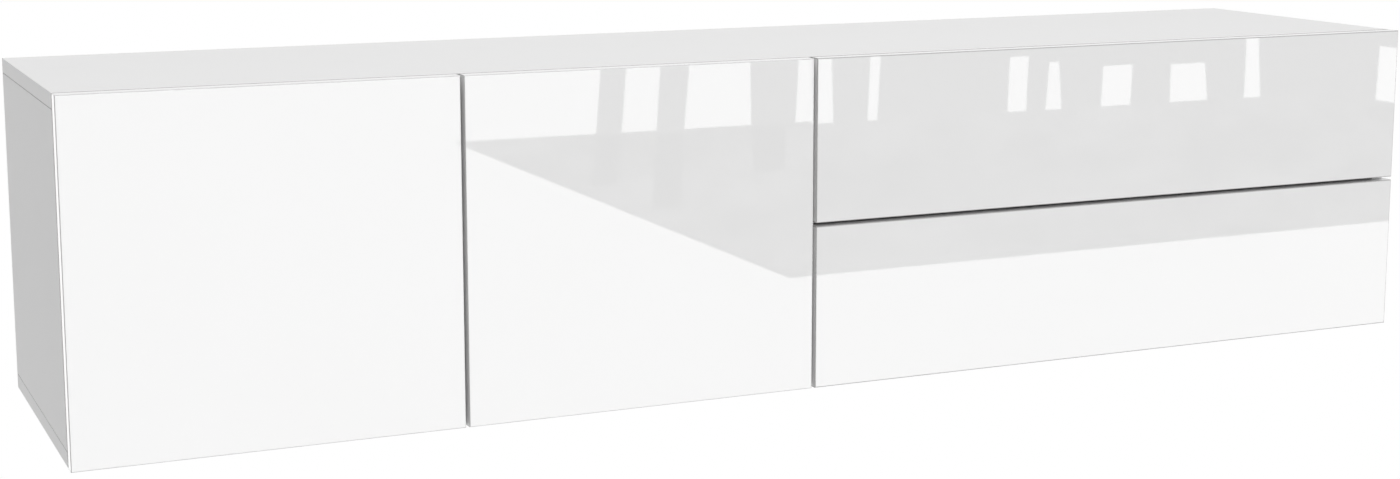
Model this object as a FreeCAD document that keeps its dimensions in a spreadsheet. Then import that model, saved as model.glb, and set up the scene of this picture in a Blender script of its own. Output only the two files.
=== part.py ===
import FreeCAD, Part
import os

import Sketcher

# A wall-hung media console: two doors and two wide drawers on a board carcass.
# X runs to the right, Y runs back to the wall and Z runs up, in millimetres.
# The origin is the middle of the back, on the wall.

doc = FreeCAD.newDocument("media_console")
sheet = doc.addObject("Spreadsheet::Sheet", "dims")

sizes = {
    # Carcass boards and fronts
    "width": 1620,
    "height": 370,
    "depth": 370,
    "board": 16,
    "door_module": 405,  # from the left end to the first seam, and on to the second
    "lower_front": 183,  # height of the lower drawer front
    "front_thick": 16,
    "front_space": 2,  # air between the fronts and the carcass
    "front_gap": 4,  # gap between neighbouring fronts
    "front_round": 1,
    "edge_round": 0.6,
    # Back panels, in grooves
    "back_thick": 3,
    "back_recess": 18,  # from the wall to the back panels
    "groove_web": 4,  # wood left between the grooves on both faces of a partition
    "groove_slack": 0.2,
    "outlet_radius": 30,
    "outlet_drop": 90,  # from the middle height down to a cable outlet
    # Cams, bolts and dowels that join the boards
    "cam_radius": 7.5,
    "cam_skin": 3.5,  # wood left behind a cam
    "cam_reach": 24,  # from the end of a board to the middle of its cam
    "bolt_radius": 3,
    "bolt_skin": 5,  # wood left past the end of a bolt
    "dowel_radius": 4,
    "dowel_skin": 6,
    "dowel_grip": 20,  # dowel length in the end of a board
    "joint_front": 50,  # from the carcass front to the front cams
    "joint_back": 60,  # from the wall to the back cams
    "joint_pitch": 32,  # from a cam to its dowel
    "hole_slack": 0.1,
    # Shelves and their pins
    "shelf_slack": 1,
    "shelf_inset": 28,
    "shelf_back": 3,
    "pin_radius": 2.5,
    "pin_web": 3,  # wood left between two pins in a partition
    "pin_out": 8,
    "pin_inset": 37,
    "pin_pitch": 32,
    # Cup hinges
    "hinge_setback": 80,  # from the top and bottom edges of a door
    "cup_radius": 17.5,
    "cup_edge": 3,
    "cup_wall": 0.6,
    "cup_skin": 2.7,  # door left in front of a cup
    "cup_slack": 0.1,
    "axle_edge": 6,  # from the edge of the door to the hinge pin
    "axle_below": 5.5,  # from the outer face of the door to the hinge pin
    "axle_radius": 1.2,
    "axle_slack": 0.08,
    "hub_radius": 2,
    "hub_half": 3,
    "hub_slack": 0.2,
    "ear_half": 2.2,
    "flange_thick": 1.2,
    "flange_half": 29,
    "flange_wide": 16,
    "cup_screw_off": 9.5,
    "cup_screw_half": 22.5,
    "cup_screw_length": 11,
    "cup_screw_head": 0.6,
    "arm_offset": 15,  # from the hinge pin to the middle of the arm
    "arm_metal": 2,
    "arm_half": 8,
    "arm_back": 60,
    "base_front": 20,
    "base_half": 9,
    "wing_half": 22,
    "wing_thick": 3,
    "wing_inset": 8,
    "base_screw_half": 16,
    # Push latches behind the doors
    "latch_inset": 23,  # from the free edge of a door to its latch
    "latch_wide": 14,
    "latch_length": 60,
    "latch_setback": 2,
    "plunger_radius": 4,
    "plunger_grip": 45,
    "plunger_slack": 0.1,
    "tip_gap": 0.3,
    "strike_radius": 7,
    "strike_thick": 0.8,
    # Drawer boxes
    "box_lift": 25,  # from the lower edge of a front to its box
    "box_drop": 33,  # from the upper edge of a front to its box
    "box_board": 12,
    "box_short": 4,
    "floor_thick": 3,
    "floor_lift": 10,
    "floor_skin": 6,  # board left behind the groove for a drawer bottom
    "peg_radius": 3,
    "peg_skin": 4,
    "peg_grip": 17,
    "peg_inset": 30,
    # Drawer slides
    "slide_space": 12.7,
    "slide_tall": 45,
    "slide_drop": 95.5,  # from the upper edge of a front to the middle of its slides
    "slide_metal": 1.2,
    "slide_inset": 2,
    "slide_lip": 8.5,
    "ball_space": 3.3,
    "middle_offset": 4.2,
    "drawer_lip": 5.2,
    "cage_gap": 0.3,
    "cage_inset": 20,
    "cage_wide": 4.5,
    "slide_screw_inset": 40,
    # Push units behind the slides
    "push_room": 29,  # from the slides to the back panel
    "push_clear": 0.5,
    "push_back": 2,
    "push_wide": 14.5,
    "push_half": 8,
    "push_wall": 3,
    "pusher_radius": 3,
    "pusher_offset": 10.5,
    # Screws that fasten the fittings
    "screw_radius": 1.75,
    "screw_head": 3.2,
    "head_thick": 1.6,
    "screw_skin": 6,
    # Cabinet hangers and wall plates
    "hanger_wide": 64,
    "hanger_tall": 50,
    "hanger_deep": 20,
    "hanger_drop": 4,
    "hanger_gap": 0.3,
    "hook_wide": 24,
    "hook_metal": 2.5,
    "hook_drop": 13,
    "hook_grip": 8,
    "hook_lip": 14,
    "hook_wall_gap": 2.6,
    "hook_slack": 0.2,
    "window_margin": 3,
    "adjuster_radius": 2.5,
    "adjuster_head": 4.5,
    "adjuster_thick": 2.5,
    "plate_wide": 50,
    "plate_metal": 2.5,
    "plate_lip": 16,
    "plate_base": 62,
    "plate_gap": 0.5,
    "wall_hole_radius": 3.25,
    "wall_hole_first": 16,
    "wall_hole_pitch": 30,
}

for row, (alias, value) in enumerate(sizes.items(), start=1):
    sheet.set(f"A{row}", alias)
    sheet.set(f"B{row}", str(value))
    sheet.setAlias(f"B{row}", alias)
doc.recompute()

# Planes that several pieces share, as expressions
half_width = "(dims.width / 2)"
half_height = "(dims.height / 2)"
side_inner = "(dims.width / 2 - dims.board)"
inner_top = "(dims.height / 2 - dims.board)"
carcass_front = "(dims.front_thick + dims.front_space - dims.depth)"
front_back = "(dims.front_thick - dims.depth)"
front_face = "(-dims.depth)"
wall = "0"
back_rear = "(-dims.back_recess)"
back_front = "(-dims.back_recess - dims.back_thick)"
groove_deep = "((dims.board - dims.groove_web) / 2)"
seam_one = "(dims.door_module - dims.width / 2)"
seam_two = "(2 * dims.door_module - dims.width / 2)"
lower_top = "(dims.lower_front - dims.height / 2)"
upper_bottom = f"({lower_top} + dims.front_gap)"

# Bays between the upright boards, from left to right
left_bay = (f"(-{side_inner})", f"({seam_one} - dims.board / 2)")
middle_bay = (f"({seam_one} + dims.board / 2)", f"({seam_two} - dims.board / 2)")
drawer_bay = (f"({seam_two} + dims.board / 2)", side_inner)

# How near two planes have to be to count as one
same_plane = 0.01

parts = []


def number(expression):
    return float(sheet.evalExpression(expression))


def negative(expression):
    return f"(-{expression})"


def mirrored(span):
    return negative(span[1]), negative(span[0])


def keep(label, solid):
    solid.Label = label
    parts.append(solid)
    return solid


def box(x, y, z):
    solid = doc.addObject("Part::Box", "block")
    for size, axis, (low, high) in zip(("Length", "Width", "Height"), "xyz", (x, y, z)):
        solid.setExpression(size, f"{high} - {low}")
        solid.setExpression("Placement.Base." + axis, low)
    return solid


def rod(radius, x, y, z):
    """A cylinder: the coordinate given as a pair is the one it runs along."""
    turns = {
        "x": FreeCAD.Rotation(FreeCAD.Vector(0, 1, 0), 90),
        "y": FreeCAD.Rotation(FreeCAD.Vector(1, 0, 0), -90),
        "z": FreeCAD.Rotation(),
    }
    solid = doc.addObject("Part::Cylinder", "rod")
    solid.setExpression("Radius", radius)
    for axis, place in zip("xyz", (x, y, z)):
        if isinstance(place, tuple):
            solid.Placement = FreeCAD.Placement(FreeCAD.Vector(), turns[axis])
            solid.setExpression("Height", f"{place[1]} - {place[0]}")
    for axis, place in zip("xyz", (x, y, z)):
        start = place[0] if isinstance(place, tuple) else place
        solid.setExpression("Placement.Base." + axis, start)
    return solid


def group(solids):
    if len(solids) == 1:
        return solids[0]
    bundle = doc.addObject("Part::Compound", "group")
    bundle.Links = solids
    return bundle


def fuse(solids):
    joined = doc.addObject("Part::MultiFuse", "fuse")
    joined.Shapes = solids
    joined.Refine = True
    return joined


def cut(base, tools):
    remainder = doc.addObject("Part::Cut", "cut")
    remainder.Base = base
    remainder.Tool = group(tools)
    return remainder


def outline(body, plane, points):
    """A closed sketch on one of the body's planes, every corner held by two sizes."""
    sketch = body.newObject("Sketcher::SketchObject", "outline")
    support = next(feature for feature in body.Origin.OriginFeatures if feature.Role == plane)
    sketch.AttachmentSupport = (support, [""])
    sketch.MapMode = "FlatFace"
    corners = [FreeCAD.Vector(number(across), number(up), 0) for across, up in points]
    for index, corner in enumerate(corners):
        sketch.addGeometry(Part.LineSegment(corner, corners[(index + 1) % len(corners)]))
    for index in range(len(corners)):
        following = (index + 1) % len(corners)
        sketch.addConstraint(Sketcher.Constraint("Coincident", index, 2, following, 1))
    for index, point in enumerate(points):
        for kind, axis, place in zip(("DistanceX", "DistanceY"), (-2, -1), point):
            if place == "0":
                sketch.addConstraint(Sketcher.Constraint("PointOnObject", index, 1, axis))
                continue
            held = Sketcher.Constraint(kind, -1, 1, index, 1, number(place))
            name = f"{kind}{index}"
            sketch.renameConstraint(sketch.addConstraint(held), name)
            sketch.setExpression("Constraints." + name, place)
    return sketch


def extrusion(plane, points, length):
    body = doc.addObject("PartDesign::Body", "body")
    sketch = outline(body, plane, points)
    pad = body.newObject("PartDesign::Pad", "pad")
    pad.Profile = sketch
    pad.setExpression("Length", length)
    return body


def put(body, x, y, z):
    for axis, place in zip("xyz", (x, y, z)):
        body.setExpression("Placement.Base." + axis, place)
    return body


def board(x, y, z, radius, rounded):
    """A board with a radius along the edges that rounded(edge middle, edge direction) picks."""
    length, width, height = (f"({high} - {low})" for low, high in (x, y, z))
    body = extrusion("XY_Plane", [("0", "0"), (length, "0"), (length, width), ("0", width)], height)
    put(body, x[0], y[0], z[0])
    doc.recompute()
    pad = body.Tip
    chosen = []
    for index, edge in enumerate(body.Shape.Edges, start=1):
        if rounded(edge.CenterOfMass, edge.tangentAt(edge.FirstParameter)):
            chosen.append(f"Edge{index}")
    fillet = body.newObject("PartDesign::Fillet", "arris")
    fillet.Base = (pad, chosen)
    fillet.setExpression("Radius", radius)
    return body


def runs_back(direction):
    return abs(direction.y) > max(abs(direction.x), abs(direction.z))


# Upright boards: each one's width along X, and which face carries its cams
left_side = (negative(half_width), negative(side_inner))
right_side = mirrored(left_side)
left_partition = (left_bay[1], middle_bay[0])
right_partition = (middle_bay[1], drawer_bay[0])
uprights = {
    "left_side_panel": (left_side, "right"),
    "left_partition": (left_partition, "left"),
    "right_partition": (right_partition, "left"),
    "right_side_panel": (right_side, "left"),
}
carcass_depth = (carcass_front, wall)
inside_height = (negative(inner_top), inner_top)
top_height = (inner_top, half_height)
bottom_height = mirrored(top_height)
cam_places = (f"({carcass_front} + dims.joint_front)", "(-dims.joint_back)")
dowel_places = (
    f"({carcass_front} + dims.joint_front + dims.joint_pitch)",
    "(-dims.joint_back - dims.joint_pitch)",
)

# Cuts that each board of the carcass takes, filled in by the fittings below
board_cuts = {name: [] for name in list(uprights) + ["top_panel", "bottom_panel"]}


def middle_of(span):
    return f"(({span[0]} + {span[1]}) / 2)"


def upward(low, high, top):
    """A height span given from the top, turned over for the bottom."""
    return (low, high) if top else mirrored((low, high))


def add_joinery():
    cams, cam_slots, bolts, dowels = [], [], [], []
    bolt_hole = "dims.bolt_radius + dims.hole_slack"
    dowel_hole = "dims.dowel_radius + dims.hole_slack"
    for name, (across, cam_face) in uprights.items():
        centre = middle_of(across)
        if cam_face == "right":
            cam_span = (f"({across[0]} + dims.cam_skin)", across[1])
        else:
            cam_span = (across[0], f"({across[1]} - dims.cam_skin)")
        for top in (True, False):
            panel = "top_panel" if top else "bottom_panel"
            cam_height = f"({inner_top} - dims.cam_reach)"
            cam_height = cam_height if top else negative(cam_height)
            bolt_end = f"({half_height} - dims.bolt_skin)"
            bolt_tip = f"({inner_top} - dims.cam_reach - dims.bolt_radius)"
            for place in cam_places:
                cams.append(rod("dims.cam_radius", cam_span, place, cam_height))
                pocket = rod("dims.cam_radius + dims.hole_slack", cam_span, place, cam_height)
                bolt_span = upward(bolt_tip, bolt_end, top)
                bolts.append(rod("dims.bolt_radius", centre, place, bolt_span))
                slot_span = upward(f"({bolt_tip} - dims.hole_slack)", bolt_end, top)
                cam_slots.append(rod(bolt_hole, centre, place, slot_span))
                end_bore = upward(f"({inner_top} - dims.cam_reach)", inner_top, top)
                board_cuts[name] += [fuse([pocket, rod(bolt_hole, centre, place, end_bore)])]
                board_cuts[panel].append(rod(bolt_hole, centre, place, upward(inner_top, bolt_end, top)))
            for place in dowel_places:
                low = f"({inner_top} - dims.dowel_grip)"
                high = f"({half_height} - dims.dowel_skin)"
                dowels.append(rod("dims.dowel_radius", centre, place, upward(low, high, top)))
                board_cuts[name].append(rod(dowel_hole, centre, place, upward(low, inner_top, top)))
                board_cuts[panel].append(rod(dowel_hole, centre, place, upward(inner_top, high, top)))
    keep("cam_locks", cut(group(cams), cam_slots))
    keep("cam_bolts", group(bolts))
    keep("carcass_dowels", group(dowels))


def add_back_panels():
    groove_y = (f"({back_front} - dims.groove_slack)", f"({back_rear} + dims.groove_slack)")
    reach = f"({groove_deep} + dims.groove_slack)"
    full_width = (f"(-{side_inner} - {reach})", f"({side_inner} + {reach})")
    groove_top = (inner_top, f"({inner_top} + {reach})")
    board_cuts["top_panel"].append(box(full_width, groove_y, groove_top))
    board_cuts["bottom_panel"].append(box(full_width, groove_y, mirrored(groove_top)))
    bays = {"left": left_bay, "middle": middle_bay, "right": drawer_bay}
    walls = {
        "left": ("left_side_panel", "left_partition"),
        "middle": ("left_partition", "right_partition"),
        "right": ("right_partition", "right_side_panel"),
    }
    hook_x = {"left": negative(hook_centre), "right": hook_centre}
    for name, bay in bays.items():
        before, after = walls[name]
        board_cuts[before].append(box((f"({bay[0]} - {reach})", bay[0]), groove_y, inside_height))
        board_cuts[after].append(box((bay[1], f"({bay[1]} + {reach})"), groove_y, inside_height))
        panel = box(
            (f"({bay[0]} - {groove_deep})", f"({bay[1]} + {groove_deep})"),
            (back_front, back_rear),
            (f"(-{inner_top} - {groove_deep})", f"({inner_top} + {groove_deep})"),
        )
        windows = []
        if name != "right":
            windows.append(
                rod("dims.outlet_radius", middle_of(bay), (back_front, back_rear), "(-dims.outlet_drop)")
            )
        if name in hook_x:
            half = "(dims.hook_wide / 2 + dims.window_margin)"
            windows.append(
                box(
                    (f"({hook_x[name]} - {half})", f"({hook_x[name]} + {half})"),
                    (back_front, back_rear),
                    (f"({hook_under} - dims.window_margin)", f"({hook_top} + dims.window_margin)"),
                )
            )
        keep(f"{name}_back_panel", cut(panel, windows))


# Cabinet hangers sit in the upper back corners, on the side panels
hanger_top = f"({inner_top} - dims.hanger_drop)"
hanger_back = f"({back_front} - dims.hanger_gap)"
hanger_front = f"({hanger_back} - dims.hanger_deep)"
hook_centre = f"({side_inner} - dims.hanger_wide / 2)"
hook_top = f"({hanger_top} - dims.hook_drop)"
hook_under = f"({hook_top} - dims.hook_metal)"
hook_front = f"({hanger_back} - dims.hook_grip)"
hook_rear = "(-dims.hook_wall_gap)"
lip_front = f"({hook_rear} - dims.hook_metal)"
plate_back = f"({lip_front} - dims.plate_gap)"
plate_front = f"({plate_back} - dims.plate_metal)"
step_bottom = f"({hook_under} - dims.plate_lip)"
step_top = f"({step_bottom} + dims.plate_metal)"
base_bottom = f"({step_top} - dims.plate_base)"


def add_hangers():
    bodies, slots, hooks, adjusters, plates, wall_holes = [], [], [], [], [], []
    for centre in (negative(hook_centre), hook_centre):
        half_body = "dims.hanger_wide / 2"
        across = (f"({centre} - {half_body})", f"({centre} + {half_body})")
        height = (f"({hanger_top} - dims.hanger_tall)", hanger_top)
        bodies.append(box(across, (hanger_front, hanger_back), height))
        half_hook = "dims.hook_wide / 2"
        hook_x = (f"({centre} - {half_hook})", f"({centre} + {half_hook})")
        strip = box(hook_x, (hook_front, hook_rear), (hook_under, hook_top))
        lip = box(hook_x, (lip_front, hook_rear), (f"({hook_top} - dims.hook_lip)", hook_top))
        hooks.append(fuse([strip, lip]))
        loose = "dims.hook_slack"
        slot = box(
            (f"({hook_x[0]} - {loose})", f"({hook_x[1]} + {loose})"),
            (f"({hook_front} - {loose})", hanger_back),
            (f"({hook_under} - {loose})", f"({hook_top} + {loose})"),
        )
        screw_z = middle_of((hook_under, hook_top))
        screw_hole = rod(
            "dims.adjuster_radius + dims.hole_slack", centre, (hanger_front, hook_front), screw_z
        )
        slots.append(fuse([slot, screw_hole]))
        shank = rod("dims.adjuster_radius", centre, (hanger_front, hook_front), screw_z)
        head_y = (f"({hanger_front} - dims.adjuster_thick)", hanger_front)
        adjusters.append(fuse([shank, rod("dims.adjuster_head", centre, head_y, screw_z)]))
        plate = wall_plate()
        plates.append(put(plate, f"({centre} - dims.plate_wide / 2)", plate_front, base_bottom))
        for step in ("0", "dims.wall_hole_pitch"):
            hole_z = f"({base_bottom} + dims.wall_hole_first + {step})"
            wall_holes.append(rod("dims.wall_hole_radius", centre, ("(-dims.plate_metal)", wall), hole_z))
    keep("hanger_bodies", cut(group(bodies), slots))
    keep("hanger_hooks", group(hooks))
    keep("hanger_screws", group(adjusters))
    keep("wall_plates", cut(group(plates), wall_holes))


def wall_plate():
    """A bent strip seen from its side: flat on the wall below, a lip clear of the wall above."""
    deep = negative(plate_front)
    metal = "dims.plate_metal"
    bend = f"(dims.plate_base - {metal})"
    top = f"(dims.plate_base - {metal} + dims.plate_lip)"
    points = [
        (f"({deep} - {metal})", "0"),
        (deep, "0"),
        (deep, "dims.plate_base"),
        (metal, "dims.plate_base"),
        (metal, top),
        ("0", top),
        ("0", bend),
        (f"({deep} - {metal})", bend),
    ]
    return extrusion("YZ_Plane", points, "dims.plate_wide")


def add_shelves():
    pins = []
    grip = "((dims.board - dims.pin_web) / 2)"
    shelf_y = (f"({carcass_front} + dims.shelf_inset)", f"({back_front} - dims.shelf_back)")
    shelf_z = ("(-dims.board / 2)", "(dims.board / 2)")
    pin_z = f"({shelf_z[0]} - dims.pin_radius)"
    places = (f"({shelf_y[0]} + dims.pin_inset)", f"({shelf_y[1]} - dims.pin_inset)")
    shelves = {
        "left_shelf": (left_bay, "left_side_panel", "left_partition"),
        "middle_shelf": (middle_bay, "left_partition", "right_partition"),
    }
    for name, (bay, before, after) in shelves.items():
        across = (f"({bay[0]} + dims.shelf_slack)", f"({bay[1]} - dims.shelf_slack)")
        keep(name, board(across, shelf_y, shelf_z, "dims.edge_round", is_front_edge(shelf_y[0])))
        left_end, right_end = f"({bay[0]} - {grip})", f"({bay[1]} + {grip})"
        ends = {
            before: ((left_end, bay[0]), (left_end, f"({bay[0]} + dims.pin_out)")),
            after: ((bay[1], right_end), (f"({bay[1]} - dims.pin_out)", right_end)),
        }
        for panel, (hole_x, pin_x) in ends.items():
            for place in places:
                pins.append(rod("dims.pin_radius", pin_x, place, pin_z))
                for row in (-1, 0, 1):
                    hole_z = f"({pin_z} + {row} * dims.pin_pitch)"
                    hole = rod("dims.pin_radius + dims.hole_slack", hole_x, place, hole_z)
                    board_cuts[panel].append(hole)
    keep("shelf_pins", group(pins))


def is_front_edge(plane):
    """Picks the four edges around the face of a board that lies in the plane y = plane."""
    face = number(plane)
    return lambda middle, direction: abs(middle.y - face) < same_plane


# Hinges: both doors turn on their left edge
axle_forward = "(dims.front_space + dims.front_thick - dims.axle_below)"
cup_floor = "(dims.front_space + dims.front_thick - dims.cup_skin)"
hinge_heights = ("(dims.hinge_setback - dims.height / 2)", "(dims.height / 2 - dims.hinge_setback)")
doors = {
    "left": (negative(half_width), f"({seam_one} - dims.front_gap / 2)", left_bay[0], "left_side_panel"),
    "middle": (
        f"({seam_one} + dims.front_gap / 2)",
        f"({seam_two} - dims.front_gap / 2)",
        middle_bay[0],
        "left_partition",
    ),
}


def forward(distance):
    """A place in front of the carcass front; a negative distance lies inside the carcass."""
    return f"({carcass_front} - {distance})"


def around(centre, half):
    return f"({centre} - {half})", f"({centre} + {half})"


def add_door(name, edge, free_edge):
    cups, cavities, pin_bores, pins, screws, screw_holes, bores = [], [], [], [], [], [], []
    cup_x = f"({edge} + dims.cup_edge + dims.cup_radius)"
    axle_x = f"({edge} + dims.axle_edge)"
    axle_y = forward(axle_forward)
    rim = "(dims.front_space - dims.flange_thick)"
    shell = (forward(cup_floor), forward(rim))
    hollow = "(dims.cup_radius - dims.cup_wall)"
    hollow_floor = f"({cup_floor} - dims.cup_wall)"
    for z in hinge_heights:
        outer = rod("dims.cup_radius", cup_x, shell, z)
        flange = box(
            (cup_x, f"({cup_x} + dims.flange_wide)"),
            (front_back, forward(rim)),
            around(z, "dims.flange_half"),
        )
        cups += [outer, flange]
        # The cavity goes round two ears that hold the hinge pin
        cavity = rod(hollow, cup_x, (forward(hollow_floor), forward(rim)), z)
        ear_start = "(dims.hub_half + dims.hub_slack)"
        ear_x = (edge, f"({axle_x} + dims.ear_half)")
        ear_y = (forward(hollow_floor), f"({axle_y} + dims.ear_half)")
        ears = [
            box(ear_x, ear_y, (f"({z} + {ear_start})", f"({z} + dims.cup_radius)")),
            box(ear_x, ear_y, (f"({z} - dims.cup_radius)", f"({z} - {ear_start})")),
        ]
        cavities.append(cut(cavity, ears))
        pin_half = "(dims.hub_half + dims.hub_slack + dims.ear_half * 2)"
        pins.append(rod("dims.axle_radius", axle_x, axle_y, around(z, pin_half)))
        pin_bores.append(rod("dims.axle_radius", axle_x, axle_y, around(z, pin_half)))
        for screw_z in around(z, "dims.cup_screw_half"):
            screw_x = f"({cup_x} + dims.cup_screw_off)"
            tip = f"({front_back} - dims.cup_screw_length)"
            shank = rod("dims.screw_radius", screw_x, (tip, forward(rim)), screw_z)
            head_y = (forward(rim), f"({forward(rim)} + dims.cup_screw_head)")
            screws.append(fuse([shank, rod("dims.screw_head", screw_x, head_y, screw_z)]))
            screw_holes.append(rod("dims.screw_radius", screw_x, (front_back, forward(rim)), screw_z))
            bores.append(rod("dims.screw_radius", screw_x, (tip, front_back), screw_z))
        bore_y = (f"({forward(cup_floor)} - dims.cup_slack)", front_back)
        bores.append(rod("dims.cup_radius + dims.cup_slack", cup_x, bore_y, z))
    leaf = board(
        (edge, free_edge),
        (front_face, front_back),
        (negative(half_height), half_height),
        "dims.front_round",
        is_front_edge(front_face),
    )
    keep(f"{name}_door", cut(leaf, bores))
    keep(f"{name}_hinge_cups", cut(cut(fuse(cups), cavities), pin_bores + screw_holes))
    keep(f"{name}_hinge_pins", group(pins))
    keep(f"{name}_cup_screws", group(screws))


def add_hinge_arms():
    arms, hub_bores, bases, base_holes, screws = [], [], [], [], []
    for edge, _, panel_face, panel in doors.values():
        axle_x = f"({edge} + dims.axle_edge)"
        axle_y = forward(axle_forward)
        half_metal = "(dims.arm_metal / 2)"
        blade_x = around(f"({axle_x} + dims.arm_offset)", half_metal)
        rear = f"({carcass_front} + dims.arm_back)"
        for z in hinge_heights:
            hub = rod("dims.hub_radius", axle_x, axle_y, around(z, "dims.hub_half"))
            neck = box((axle_x, blade_x[1]), around(axle_y, half_metal), around(z, "dims.hub_half"))
            blade = box(blade_x, (f"({axle_y} - {half_metal})", rear), around(z, "dims.arm_half"))
            arms += [hub, neck, blade]
            hub_bores.append(
                rod("dims.axle_radius + dims.axle_slack", axle_x, axle_y, around(z, "dims.hub_half"))
            )
            base_y = (f"({carcass_front} + dims.base_front)", rear)
            block = box((panel_face, blade_x[0]), base_y, around(z, "dims.base_half"))
            wing_y = (f"({base_y[0]} + dims.wing_inset)", f"({base_y[1]} - dims.wing_inset)")
            wing_x = (panel_face, f"({panel_face} + dims.wing_thick)")
            bases += [block, box(wing_x, wing_y, around(z, "dims.wing_half"))]
            for screw_z in around(z, "dims.base_screw_half"):
                screw_y = middle_of(wing_y)
                tip = f"({panel_face} - dims.board + dims.screw_skin)"
                shank = rod("dims.screw_radius", (tip, wing_x[1]), screw_y, screw_z)
                head_x = (wing_x[1], f"({wing_x[1]} + dims.head_thick)")
                screws.append(fuse([shank, rod("dims.screw_head", head_x, screw_y, screw_z)]))
                base_holes.append(rod("dims.screw_radius", wing_x, screw_y, screw_z))
                board_cuts[panel].append(rod("dims.screw_radius", (tip, panel_face), screw_y, screw_z))
    keep("hinge_arms", cut(fuse(arms), hub_bores))
    keep("hinge_plates", cut(fuse(bases), base_holes))
    keep("hinge_plate_screws", group(screws))


def add_door_latches():
    housings, sockets = [], []
    for name, (_, free_edge, _, _) in doors.items():
        x = f"({free_edge} - dims.latch_inset)"
        z = f"({inner_top} - dims.latch_wide / 2)"
        front = f"({carcass_front} + dims.latch_setback)"
        housing_y = (front, f"({front} + dims.latch_length)")
        housing_z = (f"({inner_top} - dims.latch_wide)", inner_top)
        housings.append(box(around(x, "dims.latch_wide / 2"), housing_y, housing_z))
        strike_y = (front_back, f"({front_back} + dims.strike_thick)")
        tip = f"({strike_y[1]} + dims.tip_gap)"
        end = f"({tip} + dims.plunger_grip)"
        socket_end = f"({end} + dims.plunger_radius)"
        sockets.append(rod("dims.plunger_radius + dims.plunger_slack", x, (front, socket_end), z))
        keep(f"{name}_strike_plate", rod("dims.strike_radius", x, strike_y, z))
        keep(f"{name}_latch_plunger", rod("dims.plunger_radius", x, (tip, end), z))
    keep("door_latch_housings", cut(group(housings), sockets))


# Drawers and their slides
box_x = (f"({drawer_bay[0]} + dims.slide_space)", f"({drawer_bay[1]} - dims.slide_space)")
slide_front = f"({carcass_front} + dims.slide_inset)"
slide_rear = f"({back_front} - dims.push_room)"
slide_length = f"({slide_rear} - {slide_front})"
box_rear = f"({slide_rear} - dims.box_short)"
drawers = {
    "upper": (upper_bottom, half_height),
    "lower": (negative(half_height), lower_top),
}
middle_tall = "(dims.slide_tall - 2 * (dims.slide_metal + dims.ball_space))"
inner_tall = f"({middle_tall} - 2 * (dims.slide_metal + dims.ball_space))"


def channel(tall, lip):
    """A C-shaped strip, its web at the left and its lips pointing right."""
    metal = "dims.slide_metal"
    upper = f"({tall} - {metal})"
    points = [
        ("0", "0"),
        (lip, "0"),
        (lip, metal),
        (metal, metal),
        (metal, upper),
        (lip, upper),
        (lip, tall),
        ("0", tall),
    ]
    return extrusion("XZ_Plane", points, slide_length)


def seat_channel(body, web_x, z, tall, lips_right):
    """Stands a channel with the back of its web at web_x and its lips to the right or the left."""
    if lips_right:
        return put(body, web_x, slide_rear, f"({z} - {tall} / 2)")
    body.Placement = FreeCAD.Placement(
        FreeCAD.Vector(), FreeCAD.Rotation(FreeCAD.Vector(0, 1, 0), 180)
    )
    return put(body, web_x, slide_rear, f"({z} + {tall} / 2)")


def from_wall(wall_x, on_left, distance):
    """A place measured from a wall of the drawer bay towards the drawer."""
    return f"({wall_x} + {distance})" if on_left else f"({wall_x} - {distance})"


def off_wall(wall_x, on_left, near, far):
    span = (from_wall(wall_x, on_left, near), from_wall(wall_x, on_left, far))
    return span if on_left else span[::-1]


def slide_height(front_span):
    return f"({front_span[1]} - dims.slide_drop)"


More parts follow.
